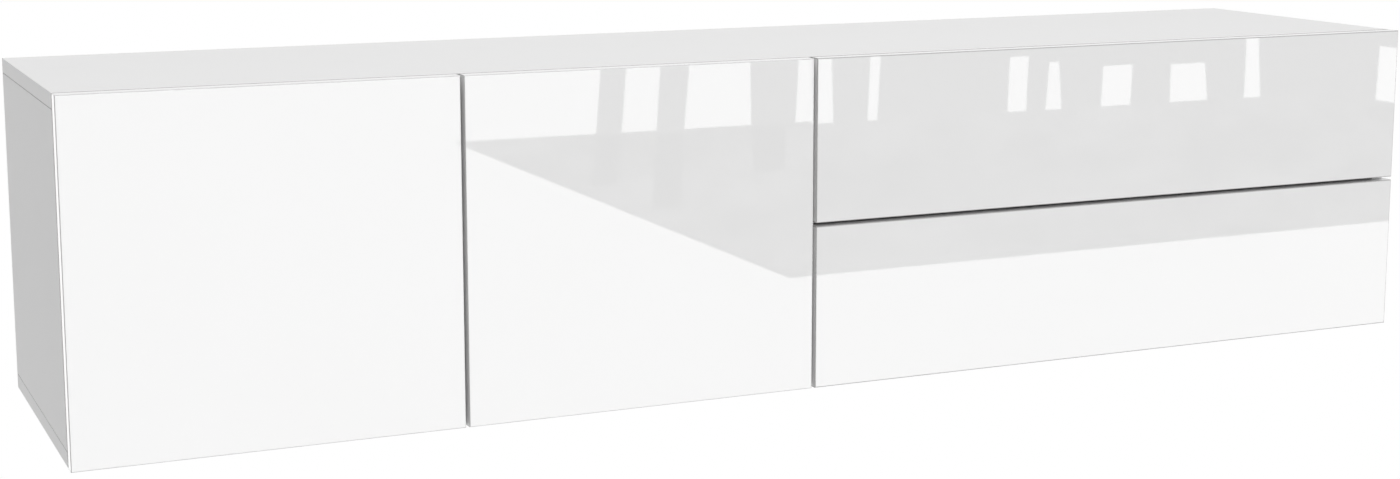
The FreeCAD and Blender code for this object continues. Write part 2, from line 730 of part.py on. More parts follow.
def add_slides():
    cabinet, cabinet_holes, screws, housings, sockets = [], [], [], [], []
    sides = ((drawer_bay[0], True, "right_partition"), (drawer_bay[1], False, "right_side_panel"))
    lip = "dims.slide_lip"
    for name, front_span in drawers.items():
        z = slide_height(front_span)
        middle, moving, cages, pushers = [], [], [], []
        for wall_x, on_left, panel in sides:
            tall = "dims.slide_tall"
            cabinet.append(seat_channel(channel(tall, lip), wall_x, z, tall, on_left))
            middle_strip = channel(middle_tall, f"({lip} - dims.middle_offset)")
            middle_x = from_wall(wall_x, on_left, "dims.middle_offset")
            middle.append(seat_channel(middle_strip, middle_x, z, middle_tall, on_left))
            moving_strip = channel(inner_tall, "dims.drawer_lip")
            moving_x = from_wall(wall_x, on_left, "dims.slide_space")
            moving.append(seat_channel(moving_strip, moving_x, z, inner_tall, not on_left))
            # Ball cages ride above and below the middle member, inside and outside its lips
            cage_y = (f"({slide_front} + dims.cage_inset)", f"({slide_rear} - dims.cage_inset)")
            cage_far = f"({lip} - dims.cage_gap)"
            outer_x = off_wall(wall_x, on_left, f"({cage_far} - dims.cage_wide)", cage_far)
            web = "(dims.middle_offset + dims.slide_metal + dims.cage_gap)"
            inner_x = off_wall(wall_x, on_left, web, f"({web} + dims.cage_wide)")
            outer_z = (f"({middle_tall} / 2)", f"(dims.slide_tall / 2 - dims.slide_metal - dims.cage_gap)")
            inner_z = (f"({inner_tall} / 2 + dims.cage_gap)", f"({middle_tall} / 2 - dims.slide_metal)")
            for cage_x, cage_z in ((outer_x, outer_z), (inner_x, inner_z)):
                for low, high in (cage_z, mirrored(cage_z)):
                    cages.append(box(cage_x, cage_y, (f"({z} + {low})", f"({z} + {high})")))
            for screw_y in (
                f"({slide_front} + dims.slide_screw_inset)",
                f"({slide_rear} - dims.slide_screw_inset)",
            ):
                grip = "(dims.board - dims.screw_skin)"
                in_wall = off_wall(wall_x, on_left, f"(-{grip})", "0")
                in_web = off_wall(wall_x, on_left, "0", "dims.slide_metal")
                shank = off_wall(wall_x, on_left, f"(-{grip})", "dims.slide_metal")
                head = off_wall(wall_x, on_left, "dims.slide_metal", "(dims.slide_metal + dims.head_thick)")
                screws.append(
                    fuse(
                        [
                            rod("dims.screw_radius", shank, screw_y, z),
                            rod("dims.screw_head", head, screw_y, z),
                        ]
                    )
                )
                cabinet_holes.append(rod("dims.screw_radius", in_web, screw_y, z))
                board_cuts[panel].append(rod("dims.screw_radius", in_wall, screw_y, z))
            # A push unit stands right behind each slide
            push_y = (f"({slide_rear} + dims.push_clear)", f"({back_front} - dims.push_back)")
            housings.append(
                box(off_wall(wall_x, on_left, "0", "dims.push_wide"), push_y, around(z, "dims.push_half"))
            )
            push_x = from_wall(wall_x, on_left, "dims.pusher_offset")
            socket_y = (push_y[0], f"({push_y[1]} - dims.push_wall)")
            sockets.append(rod("dims.pusher_radius + dims.plunger_slack", push_x, socket_y, z))
            pusher_y = (f"({slide_rear} + dims.tip_gap)", f"({socket_y[1]} - dims.push_clear)")
            pushers.append(rod("dims.pusher_radius", push_x, pusher_y, z))
        keep(f"{name}_slide_middle_members", group(middle))
        keep(f"{name}_slide_drawer_members", group(moving))
        keep(f"{name}_ball_cages", group(cages))
        keep(f"{name}_drawer_plungers", group(pushers))
    keep("slide_cabinet_members", cut(group(cabinet), cabinet_holes))
    keep("slide_screws", group(screws))
    keep("drawer_push_housings", cut(group(housings), sockets))


def add_drawer(name, front_span):
    low = f"({front_span[0]} + dims.box_lift)"
    high = f"({front_span[1]} - dims.box_drop)"
    inside_x = (f"({box_x[0]} + dims.box_board)", f"({box_x[1]} - dims.box_board)")
    floor_z = (f"({low} + dims.floor_lift)", f"({low} + dims.floor_lift + dims.floor_thick)")
    loose = "dims.groove_slack"
    reach = "(dims.box_board - dims.floor_skin)"
    floor_x = (f"({inside_x[0]} - {reach})", f"({inside_x[1]} + {reach})")
    floor_y = (f"({front_back} - {reach})", box_rear)
    groove_z = (f"({floor_z[0]} - {loose})", f"({floor_z[1]} + {loose})")
    groove_x = (f"({floor_x[0]} - {loose})", f"({floor_x[1]} + {loose})")
    back_y = (f"({box_rear} - dims.box_board)", box_rear)
    keep(f"{name}_drawer_bottom", box(floor_x, floor_y, floor_z))

    pegs, front_holes, back_holes = [], [], []
    side_holes = {"left": [], "right": []}
    peg_hole = "dims.peg_radius + dims.hole_slack"
    side_spans = {"left": (box_x[0], inside_x[0]), "right": (inside_x[1], box_x[1])}
    for side, span in side_spans.items():
        in_front = f"({front_back} - dims.front_thick + dims.dowel_skin)"
        in_side = f"({front_back} + dims.peg_grip)"
        if side == "left":
            in_face = (f"({span[0]} + dims.peg_skin)", span[1])
            in_end = (span[1], f"({span[1]} + dims.peg_grip)")
        else:
            in_face = (span[0], f"({span[1]} - dims.peg_skin)")
            in_end = (f"({span[0]} - dims.peg_grip)", span[0])
        peg_x = (in_face[0], in_end[1]) if side == "left" else (in_end[0], in_face[1])
        for z in (f"({low} + dims.peg_inset)", f"({high} - dims.peg_inset)"):
            x = middle_of(span)
            pegs.append(rod("dims.peg_radius", x, (in_front, in_side), z))
            front_holes.append(rod(peg_hole, x, (in_front, front_back), z))
            side_holes[side].append(rod(peg_hole, x, (front_back, in_side), z))
            y = middle_of(back_y)
            pegs.append(rod("dims.peg_radius", peg_x, y, z))
            side_holes[side].append(rod(peg_hole, in_face, y, z))
            back_holes.append(rod(peg_hole, in_end, y, z))
    for side, span in side_spans.items():
        plank = box(span, (front_back, box_rear), (low, high))
        groove = box(groove_x, (front_back, box_rear), groove_z)
        keep(f"{name}_drawer_{side}_side", cut(plank, [groove] + side_holes[side]))
    keep(f"{name}_drawer_back", cut(box(inside_x, back_y, (floor_z[1], high)), back_holes))
    leaf = board(
        (f"({seam_two} + dims.front_gap / 2)", half_width),
        (front_face, front_back),
        front_span,
        "dims.front_round",
        is_front_edge(front_face),
    )
    groove = box(groove_x, (f"({floor_y[0]} - {loose})", front_back), groove_z)
    keep(f"{name}_drawer_front", cut(leaf, [groove] + front_holes))
    keep(f"{name}_drawer_dowels", group(pegs))


def add_carcass_boards():
    """The boards come last, when every fitting has left its cuts in board_cuts."""
    full_width = (negative(half_width), half_width)
    for name, height in (("top_panel", top_height), ("bottom_panel", bottom_height)):
        blank = board(
            full_width,
            carcass_depth,
            height,
            "dims.edge_round",
            lambda middle, direction: runs_back(direction),
        )
        keep(name, cut(blank, board_cuts[name]))
    for name, (across, _) in uprights.items():
        if name.endswith("partition"):
            keep(name, cut(box(across, carcass_depth, inside_height), board_cuts[name]))
            continue
        outer = number(half_width)
        blank = board(
            across,
            carcass_depth,
            inside_height,
            "dims.edge_round",
            lambda middle, direction: runs_back(direction) and abs(abs(middle.x) - outer) < same_plane,
        )
        keep(name, cut(blank, board_cuts[name]))


add_joinery()
add_back_panels()
add_hangers()
add_shelves()
for door, (hinge_edge, free_edge, _, _) in doors.items():
    add_door(door, hinge_edge, free_edge)
add_hinge_arms()
add_door_latches()
add_slides()
for drawer, height_span in drawers.items():
    add_drawer(drawer, height_span)
add_carcass_boards()
doc.recompute()

for made in doc.Objects:
    if {"Invalid", "Error"} & set(made.State):
        raise RuntimeError(f"{made.Label} failed: {made.State}")
for part in parts:
    if part.Shape.isNull() or not part.Shape.isValid():
        raise RuntimeError(f"{part.Label} has no valid shape")

os.makedirs("parts", exist_ok=True)
for part in parts:
    part.Shape.exportStep(f"parts/{part.Label}.step")
    print(part.Label, len(part.Shape.Solids), round(part.Shape.Volume / 1000, 2))
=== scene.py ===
import math

import bmesh
import bpy
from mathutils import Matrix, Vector


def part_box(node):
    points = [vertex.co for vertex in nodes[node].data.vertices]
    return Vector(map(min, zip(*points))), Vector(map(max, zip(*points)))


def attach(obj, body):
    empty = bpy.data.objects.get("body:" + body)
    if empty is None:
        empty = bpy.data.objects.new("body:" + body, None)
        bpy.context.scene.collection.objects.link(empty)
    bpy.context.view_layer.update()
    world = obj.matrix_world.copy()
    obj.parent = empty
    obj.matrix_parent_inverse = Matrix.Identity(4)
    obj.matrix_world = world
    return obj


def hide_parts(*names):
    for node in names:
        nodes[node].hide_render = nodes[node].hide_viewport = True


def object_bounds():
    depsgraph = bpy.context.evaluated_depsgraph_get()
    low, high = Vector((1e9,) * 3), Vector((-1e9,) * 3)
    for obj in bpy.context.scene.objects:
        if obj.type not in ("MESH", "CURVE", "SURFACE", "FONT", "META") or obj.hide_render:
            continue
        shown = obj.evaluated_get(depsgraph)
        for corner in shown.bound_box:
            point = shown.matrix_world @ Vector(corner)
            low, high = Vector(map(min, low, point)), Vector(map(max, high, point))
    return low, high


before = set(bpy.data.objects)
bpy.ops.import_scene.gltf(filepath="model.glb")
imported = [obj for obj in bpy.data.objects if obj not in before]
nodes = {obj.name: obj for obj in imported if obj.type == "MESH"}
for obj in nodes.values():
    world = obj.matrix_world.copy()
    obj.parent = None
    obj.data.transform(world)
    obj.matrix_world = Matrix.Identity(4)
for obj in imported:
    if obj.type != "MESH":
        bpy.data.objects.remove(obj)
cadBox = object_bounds()
doors = ("left", "middle")
drawers = ("upper", "lower")


# Shorthands for shader nodes: a socket given an output is linked, anything else is its value

def wire(tree, socket, value):
    if isinstance(value, bpy.types.NodeSocket):
        tree.links.new(value, socket)
    else:
        socket.default_value = value


def place(tree, kind, sockets=None, **settings):
    node = tree.nodes.new(kind)
    for key, value in settings.items():
        setattr(node, key, value)
    for key, value in (sockets or {}).items():
        wire(tree, node.inputs[key], value)
    return node


def calc(tree, operation, first, second=0.0, clamp=False):
    sockets = {0: first, 1: second}
    return place(tree, "ShaderNodeMath", sockets, operation=operation, use_clamp=clamp).outputs[0]


def vecCalc(tree, operation, first, second):
    return place(tree, "ShaderNodeVectorMath", {0: first, 1: second}, operation=operation).outputs[0]


def axes(tree, where):
    return place(tree, "ShaderNodeSeparateXYZ", {0: where}).outputs


def spread(tree, value, low, high, toLow=0.0, toHigh=1.0):
    sockets = {"Value": value, "From Min": low, "From Max": high, "To Min": toLow, "To Max": toHigh}
    node = place(tree, "ShaderNodeMapRange", sockets, interpolation_type="SMOOTHSTEP")
    return node.outputs["Result"]


def mixColour(tree, factor, first, second):
    return place(tree, "ShaderNodeMix", {0: factor, 6: first, 7: second}, data_type="RGBA").outputs[2]


def noise(tree, where, scale, detail=3.0, roughness=0.5):
    sockets = {"Vector": where, "Scale": scale, "Detail": detail, "Roughness": roughness}
    return place(tree, "ShaderNodeTexNoise", sockets).outputs[0]


# Pushes places about, so that a pattern laid on them isn't straight
def jostle(tree, where, scale, amount, detail):
    sockets = {"Vector": where, "Scale": scale, "Detail": detail}
    push = place(tree, "ShaderNodeTexNoise", sockets).outputs["Color"]
    push = vecCalc(tree, "SUBTRACT", push, (0.5, 0.5, 0.5))
    return vecCalc(tree, "ADD", where, vecCalc(tree, "MULTIPLY", push, (amount, amount, amount)))


def grey(value, warm=0.0):
    return (value + warm, value, value - warm, 1.0)


def startGroup(name, inputs, outputs):
    tree = bpy.data.node_groups.new(name, "ShaderNodeTree")
    for socketName, kind, value in inputs:
        socket = tree.interface.new_socket(socketName, in_out="INPUT", socket_type=kind)
        if value is not None:
            socket.default_value = value
    for socketName, kind in outputs:
        tree.interface.new_socket(socketName, in_out="OUTPUT", socket_type=kind)
    taken = tree.nodes.new("NodeGroupInput").outputs
    given = tree.nodes.new("NodeGroupOutput").inputs
    return tree, taken, given


def useGroup(tree, group, sockets):
    return place(tree, "ShaderNodeGroup", sockets, node_tree=group).outputs


number, vector, colour = "NodeSocketFloat", "NodeSocketVector", "NodeSocketColor"


# Where on a board a point lies: along an edge, by its top or bottom, on the unbanded rear, or inside a cut

zoneSizes = {
    "nicks": 700.0,  # noise scale of what makes an edge line ragged
    "rear": (0.0001, 0.0004),  # depths between which the rear face ends
    "cut": (0.0004, 0.0007),  # depths between which a groove or bore starts
}


def makeBoardZones():
    tree, taken, given = startGroup(
        "boardZones",
        [("Place", vector, None), ("Low", vector, None), ("High", vector, None),
         ("Reach", number, 0.002), ("Ragged", number, 0.4)],
        [("Edge", number), ("Level", number), ("Rear", number), ("Cut", number)],
    )
    above = vecCalc(tree, "SUBTRACT", taken["Place"], taken["Low"])
    below = vecCalc(tree, "SUBTRACT", taken["High"], taken["Place"])
    nearest = vecCalc(tree, "ABSOLUTE", vecCalc(tree, "MINIMUM", above, below), (0, 0, 0))
    x, y, z = axes(tree, nearest)
    lesser, greater = calc(tree, "MINIMUM", x, y), calc(tree, "MAXIMUM", x, y)
    middle = calc(tree, "MAXIMUM", lesser, calc(tree, "MINIMUM", greater, z))  # 0 along an edge
    nicks = calc(tree, "SUBTRACT", noise(tree, taken["Place"], zoneSizes["nicks"], detail=4.0), 0.5)
    nicks = calc(tree, "MULTIPLY", calc(tree, "MULTIPLY", nicks, taken["Ragged"]), taken["Reach"])
    ragged = calc(tree, "ADD", middle, calc(tree, "MULTIPLY", nicks, 2.0))
    wire(tree, given["Edge"], spread(tree, ragged, 0.0, taken["Reach"], 1.0, 0.0))
    wire(tree, given["Level"], spread(tree, z, 0.0, taken["Reach"], 1.0, 0.0))
    wire(tree, given["Rear"], spread(tree, axes(tree, below)["Y"], *zoneSizes["rear"], 1.0, 0.0))
    wire(tree, given["Cut"], spread(tree, calc(tree, "MINIMUM", lesser, z), *zoneSizes["cut"]))
    return tree


# Fine relief and slow drift of a pressed or lacquered skin, and the smudges on it

smudges = {
    "shift": (3.1, 1.7, 5.3),  # off the drift's places, so that the two differ
    "finer": 3.0,  # times as fine as the drift
    "shown": (0.52, 0.72),
}


def makeSkin():
    tree, taken, given = startGroup(
        "skin",
        [("Place", vector, None), ("Grain", number, 0.001), ("Patch", number, 0.15)],
        [("Height", number), ("Drift", number), ("Smudge", number)],
    )
    fine = calc(tree, "DIVIDE", 1.0, taken["Grain"])
    wire(tree, given["Height"], noise(tree, taken["Place"], fine, detail=2.0))
    wide = calc(tree, "DIVIDE", 1.0, taken["Patch"])
    wire(tree, given["Drift"], noise(tree, taken["Place"], wide, detail=4.0, roughness=0.55))
    moved = vecCalc(tree, "ADD", taken["Place"], smudges["shift"])
    touch = noise(tree, moved, calc(tree, "MULTIPLY", wide, smudges["finer"]), detail=6.0, roughness=0.7)
    wire(tree, given["Smudge"], spread(tree, touch, *smudges["shown"]))
    return tree


# Pressed wood chips, as they show on an unbanded edge or in a bore

woodChips = {
    "stretch": (0.45, 1.0, 1.0), "bend": 0.002, "bendScale": 260.0,
    "brown": (0.52, 0.37, 0.22, 1), "pale": (0.74, 0.60, 0.42, 1),
    "dark": (0.30, 0.20, 0.12, 1), "darkScale": 900.0, "darkShown": (0.58, 0.75),
}


def makeChipboard():
    tree, taken, given = startGroup(
        "chipboard",
        [("Place", vector, None), ("Chip", number, 0.0022)],
        [("Colour", colour), ("Height", number)],
    )
    scale = calc(tree, "DIVIDE", 1.0, taken["Chip"])
    stretched = vecCalc(tree, "MULTIPLY", taken["Place"], woodChips["stretch"])
    bent = jostle(tree, stretched, woodChips["bendScale"], woodChips["bend"], detail=2.0)
    cells = place(tree, "ShaderNodeTexVoronoi", {"Vector": bent, "Scale": scale, "Randomness": 1.0})
    shade = place(tree, "ShaderNodeSeparateColor", {0: cells.outputs["Color"]}).outputs[0]
    tone = mixColour(tree, shade, woodChips["brown"], woodChips["pale"])
    specks = noise(tree, stretched, woodChips["darkScale"], detail=4.0)
    dark = spread(tree, specks, *woodChips["darkShown"])
    wire(tree, given["Colour"], mixColour(tree, dark, tone, woodChips["dark"]))
    wire(tree, given["Height"], cells.outputs["Distance"])
    return tree


# Fine drawn lines of rolled or plated metal, longest along the axis with the smallest scale

stainScale = 55.0  # noise scale of the dull patches


def makeDrawnLines():
    tree, taken, given = startGroup(
        "drawnLines",
        [("Place", vector, None), ("Along", vector, (40.0, 2000.0, 2000.0))],
        [("Lines", number), ("Stain", number)],
    )
    stretched = vecCalc(tree, "MULTIPLY", taken["Place"], taken["Along"])
    wire(tree, given["Lines"], noise(tree, stretched, 1.0, roughness=0.6))
    wire(tree, given["Stain"], noise(tree, taken["Place"], stainScale, detail=5.0, roughness=0.65))
    return tree


boardZones = makeBoardZones()
skin = makeSkin()
chipboard = makeChipboard()
drawnLines = makeDrawnLines()
print("node groups built")


def emptyMaterial(name):
    material = bpy.data.materials.new(name)
    material.use_nodes = True
    material.node_tree.nodes.clear()
    return material, material.node_tree


def startMaterial(name):
    material, tree = emptyMaterial(name)
    shader = place(tree, "ShaderNodeBsdfPrincipled")
    place(tree, "ShaderNodeOutputMaterial", {0: shader.outputs[0]})
    where = place(tree, "ShaderNodeTexCoord").outputs["Object"]
    return material, tree, shader, where


def feed(tree, shader, **sockets):
    for key, value in sockets.items():
        wire(tree, shader.inputs[key.replace("_", " ")], value)


def relief(tree, height, depth):
    return place(tree, "ShaderNodeBump", {"Strength": 1.0, "Distance": depth, "Height": height}).outputs[0]


def dress(name, material):
    piece = nodes[name]
    piece.data.materials.clear()
    piece.data.materials.append(material)


finishes = {}  # shared materials by name, also for the pieces formed later


def dressAll(names, material):
    finishes[material.name] = material
    for name in names:
        dress(name, material)


# Boards: white skins over chipboard, each with its own edges

boardLooks = {
    "glossDoor": {
        "white": 0.86, "rough": 0.22, "coat": 1.0, "grain": 0.0045, "depth": 0.000004,
        "line": 0.001, "lineTone": 0.26, "lineShare": 0.85,  # the edge band's glue line
        "levelShare": 0.4, "ragged": 0.06,
    },
    "satinSkin": {
        "white": 0.84, "rough": 0.46, "coat": 0.0, "grain": 0.0009, "depth": 0.00001,
        "line": 0.001, "lineTone": 0.70, "lineShare": 0.4, "levelShare": 0.4, "ragged": 0.3,
        # painted shadow lines: at the outside seams of the sides, and along the carcass front edges behind
        # the fronts
        "seamShadowWidth": 0.0005, "seamShadowTone": 0.25, "gapShadeTone": 0.16, "gapShadeShare": 0.9,
    },
    "pearlSkin": {
        "white": 0.80, "rough": 0.55, "coat": 0.0, "grain": 0.0011, "depth": 0.00003,
        "line": 0.001, "lineTone": 0.66, "lineShare": 0.4, "levelShare": 0.4, "ragged": 0.3,
    },
}
boardLooks["glossDrawer"] = dict(boardLooks["glossDoor"], line=0.0016, levelShare=0.85)
boardShared = {
    "drift": 0.985, "warm": 0.002,  # the duller end of the white
    "lineWarm": 0.004, "smudgeRough": 0.06, "bareRough": 0.35, "chipRelief": 30.0,
    "coatRough": 0.015, "coatIor": 1.55,
    # depths over which the painted shadow lines at the seams and along the front edges fade out
    "endFade": (0.0015, 0.0008), "gapShadeFade": (0.0002, 0.0005),  # depths between which a face's lines end
}
boards = {
    "glossDoor": [f"{door}_door" for door in doors],
    "glossDrawer": [f"{drawer}_drawer_front" for drawer in drawers],
    "satinSkin": ["top_panel", "bottom_panel", "left_side_panel", "right_side_panel"],
    "pearlSkin": ["left_partition", "right_partition", "left_shelf", "middle_shelf"]
    + [f"{drawer}_drawer_{part}" for drawer in drawers for part in ("left_side", "right_side", "back")],
}


# Painted shadow line on the outside where a side panel meets the top or bottom
def seamShadowMask(tree, where, width):
    split = axes(tree, where)
    joint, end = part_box("top_panel")[0].z, cadBox[1].x
    away = calc(tree, "ABSOLUTE", calc(tree, "SUBTRACT", calc(tree, "ABSOLUTE", split["Z"]), joint))
    line = spread(tree, away, width / 2, width, 1.0, 0.0)
    inner, outer = (end - depth for depth in boardShared["endFade"])
    return calc(tree, "MULTIPLY", line, spread(tree, calc(tree, "ABSOLUTE", split["X"]), inner, outer))


# Painted shade: a dark line along a carcass board's front edge, standing for the shadow in the gap behind
# the fronts
def gapShadeMask(tree, where, front):
    outer, inner = (front + depth for depth in boardShared["gapShadeFade"])
    return spread(tree, axes(tree, where)["Y"], outer, inner, 1.0, 0.0)


def boardMaterial(name, look):
    material, tree, shader, where = startMaterial(name + "Skin")
    low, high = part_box(name)
    sockets = {"Place": where, "Low": low, "High": high, "Reach": look["line"], "Ragged": look["ragged"]}
    zone = useGroup(tree, boardZones, sockets)
    face = useGroup(tree, skin, {"Place": where, "Grain": look["grain"]})
    raw = useGroup(tree, chipboard, {"Place": where})
    dull = grey(look["white"] * boardShared["drift"], boardShared["warm"])
    white = mixColour(tree, face["Drift"], dull, grey(look["white"]))
    share = spread(tree, zone["Level"], 0.0, 1.0, look["lineShare"], look["levelShare"])
    line = calc(tree, "MULTIPLY", zone["Edge"], share)
    white = mixColour(tree, line, white, grey(look["lineTone"], boardShared["lineWarm"]))
    # painted shade: darkens each carcass board's front edge, where the gap behind the fronts is in shadow
    if "gapShadeTone" in look:
        front = calc(tree, "MULTIPLY", zone["Edge"], gapShadeMask(tree, where, low.y))
        front = calc(tree, "MULTIPLY", front, look["gapShadeShare"])
        white = mixColour(tree, front, white, grey(look["gapShadeTone"], boardShared["lineWarm"]))
    # painted shadow line along the outside seams of the side panels
    if "seamShadowWidth" in look:
        paintedSeamShadow = seamShadowMask(tree, where, look["seamShadowWidth"])
        white = mixColour(tree, paintedSeamShadow, white, grey(look["seamShadowTone"], boardShared["lineWarm"]))
    unskinned = calc(tree, "MAXIMUM", zone["Cut"], zone["Rear"])
    bare = zone["Cut"] if look["coat"] else unskinned
    smudged = look["rough"] + boardShared["smudgeRough"]
    rough = spread(tree, face["Smudge"], 0.0, 1.0, look["rough"], smudged)
    rough = calc(tree, "ADD", rough, calc(tree, "MULTIPLY", bare, boardShared["bareRough"]))
    chips = calc(tree, "MULTIPLY", calc(tree, "MULTIPLY", raw["Height"], bare), boardShared["chipRelief"])
    height = calc(tree, "ADD", face["Height"], chips)
    feed(tree, shader, Base_Color=mixColour(tree, bare, white, raw["Colour"]), Roughness=rough,
         Normal=relief(tree, height, look["depth"]))
    if look["coat"]:
        uncoated = calc(tree, "MAXIMUM", unskinned, line)
        feed(tree, shader, Coat_Weight=calc(tree, "SUBTRACT", look["coat"], uncoated, clamp=True),
             Coat_Roughness=boardShared["coatRough"], Coat_IOR=boardShared["coatIor"],
             Specular_IOR_Level=0.0)  # the clear coat alone mirrors
    return material


for lookName, names in boards.items():
    for name in names:
        dress(name, boardMaterial(name, boardLooks[lookName]))
print("boards finished")


# Thin hardboard: white foil on the side that is seen, bare fibre on the other

thinBoards = {
    "foil": 0.80, "foilRough": 0.5, "foilGrain": 0.0013, "foilDrift": 0.98, "foilWarm": 0.002,
    "facing": (0.6, 0.9),  # from bare to foiled, by how squarely a face looks the foil's way
    "fibre": (0.36, 0.235, 0.135, 1), "fibreDark": (0.22, 0.135, 0.075, 1), "fibreRough": 0.82,
    "strandStretch": (0.35, 1.0, 1.0), "strandScale": 420.0, "strandTone": (0.35, 0.68), "smudge": 0.35,
    "mesh": 240.0,  # wave scale of the screen print, about 1.3 mm apart
    "meshShare": 0.5, "depth": 0.00006,
    "sides": {
        "backs": ((0, -1, 0), ["left_back_panel", "middle_back_panel", "right_back_panel"]),
        "floors": ((0, 0, 1), [f"{drawer}_drawer_bottom" for drawer in drawers]),
    },
}


def thinBoardMaterial(name, foilSide):
    material, tree, shader, where = startMaterial(name)
    turned = place(tree, "ShaderNodeTexCoord").outputs["Normal"]
    sockets = {0: turned, 1: foilSide}
    facing = place(tree, "ShaderNodeVectorMath", sockets, operation="DOT_PRODUCT").outputs["Value"]
    foil = spread(tree, facing, *thinBoards["facing"])
    face = useGroup(tree, skin, {"Place": where, "Grain": thinBoards["foilGrain"]})
    stretched = vecCalc(tree, "MULTIPLY", where, thinBoards["strandStretch"])
    strands = noise(tree, stretched, thinBoards["strandScale"], detail=6.0, roughness=0.7)
    pale = spread(tree, strands, *thinBoards["strandTone"])
    fibre = mixColour(tree, pale, thinBoards["fibreDark"], thinBoards["fibre"])
    smudge = calc(tree, "MULTIPLY", face["Smudge"], thinBoards["smudge"])
    fibre = mixColour(tree, smudge, fibre, thinBoards["fibreDark"])
    dull = grey(thinBoards["foil"] * thinBoards["foilDrift"], thinBoards["foilWarm"])
    white = mixColour(tree, face["Drift"], dull, grey(thinBoards["foil"]))
    rough = spread(tree, foil, 0.0, 1.0, thinBoards["fibreRough"], thinBoards["foilRough"])
    waves = []
    for direction in "XYZ":
        sockets = {"Vector": where, "Scale": thinBoards["mesh"]}
        wave = place(tree, "ShaderNodeTexWave", sockets, bands_direction=direction)
        waves.append(wave.outputs["Fac"])
    screen = calc(tree, "ADD", waves[0], calc(tree, "ADD", waves[1], waves[2]))
    screen = calc(tree, "MULTIPLY", screen, thinBoards["meshShare"])
    sockets = {0: foil, 2: calc(tree, "ADD", screen, strands), 3: face["Height"]}
    height = place(tree, "ShaderNodeMix", sockets, data_type="FLOAT").outputs[0]
    feed(tree, shader, Base_Color=mixColour(tree, foil, fibre, white), Roughness=rough,
         Normal=relief(tree, height, thinBoards["depth"]))
    return material


for kind, (foilSide, names) in thinBoards["sides"].items():
    dressAll(names, thinBoardMaterial(kind + "Hardboard", foilSide))
print("thin boards finished")


# Metals: drawn, plated or cast, lines along the way each was rolled

metals = {
    "castZinc": {
        "colour": (0.58, 0.59, 0.61, 1), "rough": 0.36, "streak": 0.10, "along": (1500, 1500, 1500),
        "depth": 0.00002, "names": ["cam_locks", "cam_bolts"],
    },
    "nickelPlate": {
        "colour": (0.70, 0.68, 0.64, 1), "rough": 0.17, "streak": 0.14, "along": (2200, 70, 2200),
        "depth": 0.000004,
        "names": ["hinge_arms", "hinge_plates", "shelf_pins"]
        + [f"{door}_{part}" for door in doors for part in ("hinge_cups", "hinge_pins", "strike_plate")],
    },
    "slideSteel": {
        "colour": (0.62, 0.64, 0.66, 1), "rough": 0.24, "streak": 0.18, "along": (2600, 30, 2600),
        "depth": 0.000006,
        "names": ["slide_cabinet_members"]
        + [f"{drawer}_slide_{part}_members" for drawer in drawers for part in ("middle", "drawer")],
    },
    "cageSteel": {
        "colour": (0.40, 0.40, 0.41, 1), "rough": 0.22, "streak": 0.16, "along": (1800, 60, 1800),
        "depth": 0.000006, "names": [f"{drawer}_ball_cages" for drawer in drawers],
    },
    "screwZinc": {
        "colour": (0.64, 0.63, 0.59, 1), "rough": 0.26, "streak": 0.14, "along": (2400, 2400, 2400),
        "depth": 0.000006,
        "names": ["hinge_plate_screws", "slide_screws", "hanger_screws"]
        + [f"{door}_cup_screws" for door in doors],
    },
}
metalStain = {"dull": 0.82, "shown": (0.35, 0.65), "polish": 0.08}


def metalMaterial(name, look):
    material, tree, shader, where = startMaterial(name)
    marks = useGroup(tree, drawnLines, {"Place": where, "Along": look["along"]})
    dull = [part * metalStain["dull"] for part in look["colour"][:3]] + [1.0]
    clean = spread(tree, marks["Stain"], *metalStain["shown"])
    rough = calc(tree, "ADD", calc(tree, "MULTIPLY", marks["Lines"], look["streak"]), look["rough"])
    rough = calc(tree, "SUBTRACT", rough, calc(tree, "MULTIPLY", clean, metalStain["polish"]))
    feed(tree, shader, Base_Color=mixColour(tree, clean, dull, look["colour"]), Roughness=rough,
         Normal=relief(tree, marks["Lines"], look["depth"]), Metallic=1.0)
    return material


for metalName, look in metals.items():
    dressAll(look["names"], metalMaterial(metalName, look))


# Galvanised plates and hooks, with crystals of zinc a few millimetres across

galvanised = {
    "colour": (0.55, 0.57, 0.59, 1), "pale": (0.70, 0.71, 0.72, 1), "rough": 0.34, "roughSpread": 0.16,
    "crystal": 0.006, "bend": 0.004, "bendScale": 300.0, "depth": 0.00002,
    "names": ["wall_plates", "hanger_hooks"],
}


def galvanisedMaterial():
    material, tree, shader, where = startMaterial("galvanised")
    bent = jostle(tree, where, galvanised["bendScale"], galvanised["bend"], detail=3.0)
    crystals = place(tree, "ShaderNodeTexVoronoi", {"Vector": bent, "Scale": 1 / galvanised["crystal"]})
    shade = place(tree, "ShaderNodeSeparateColor", {0: crystals.outputs["Color"]}).outputs
    rough = calc(tree, "MULTIPLY", shade[1], galvanised["roughSpread"])
    feed(tree, shader, Base_Color=mixColour(tree, shade[0], galvanised["colour"], galvanised["pale"]),
         Roughness=calc(tree, "ADD", rough, galvanised["rough"]),
         Normal=relief(tree, crystals.outputs["Distance"], galvanised["depth"]), Metallic=1.0)
    return material


dressAll(galvanised["names"], galvanisedMaterial())
print("metals finished")


# Moulded plastics and beech

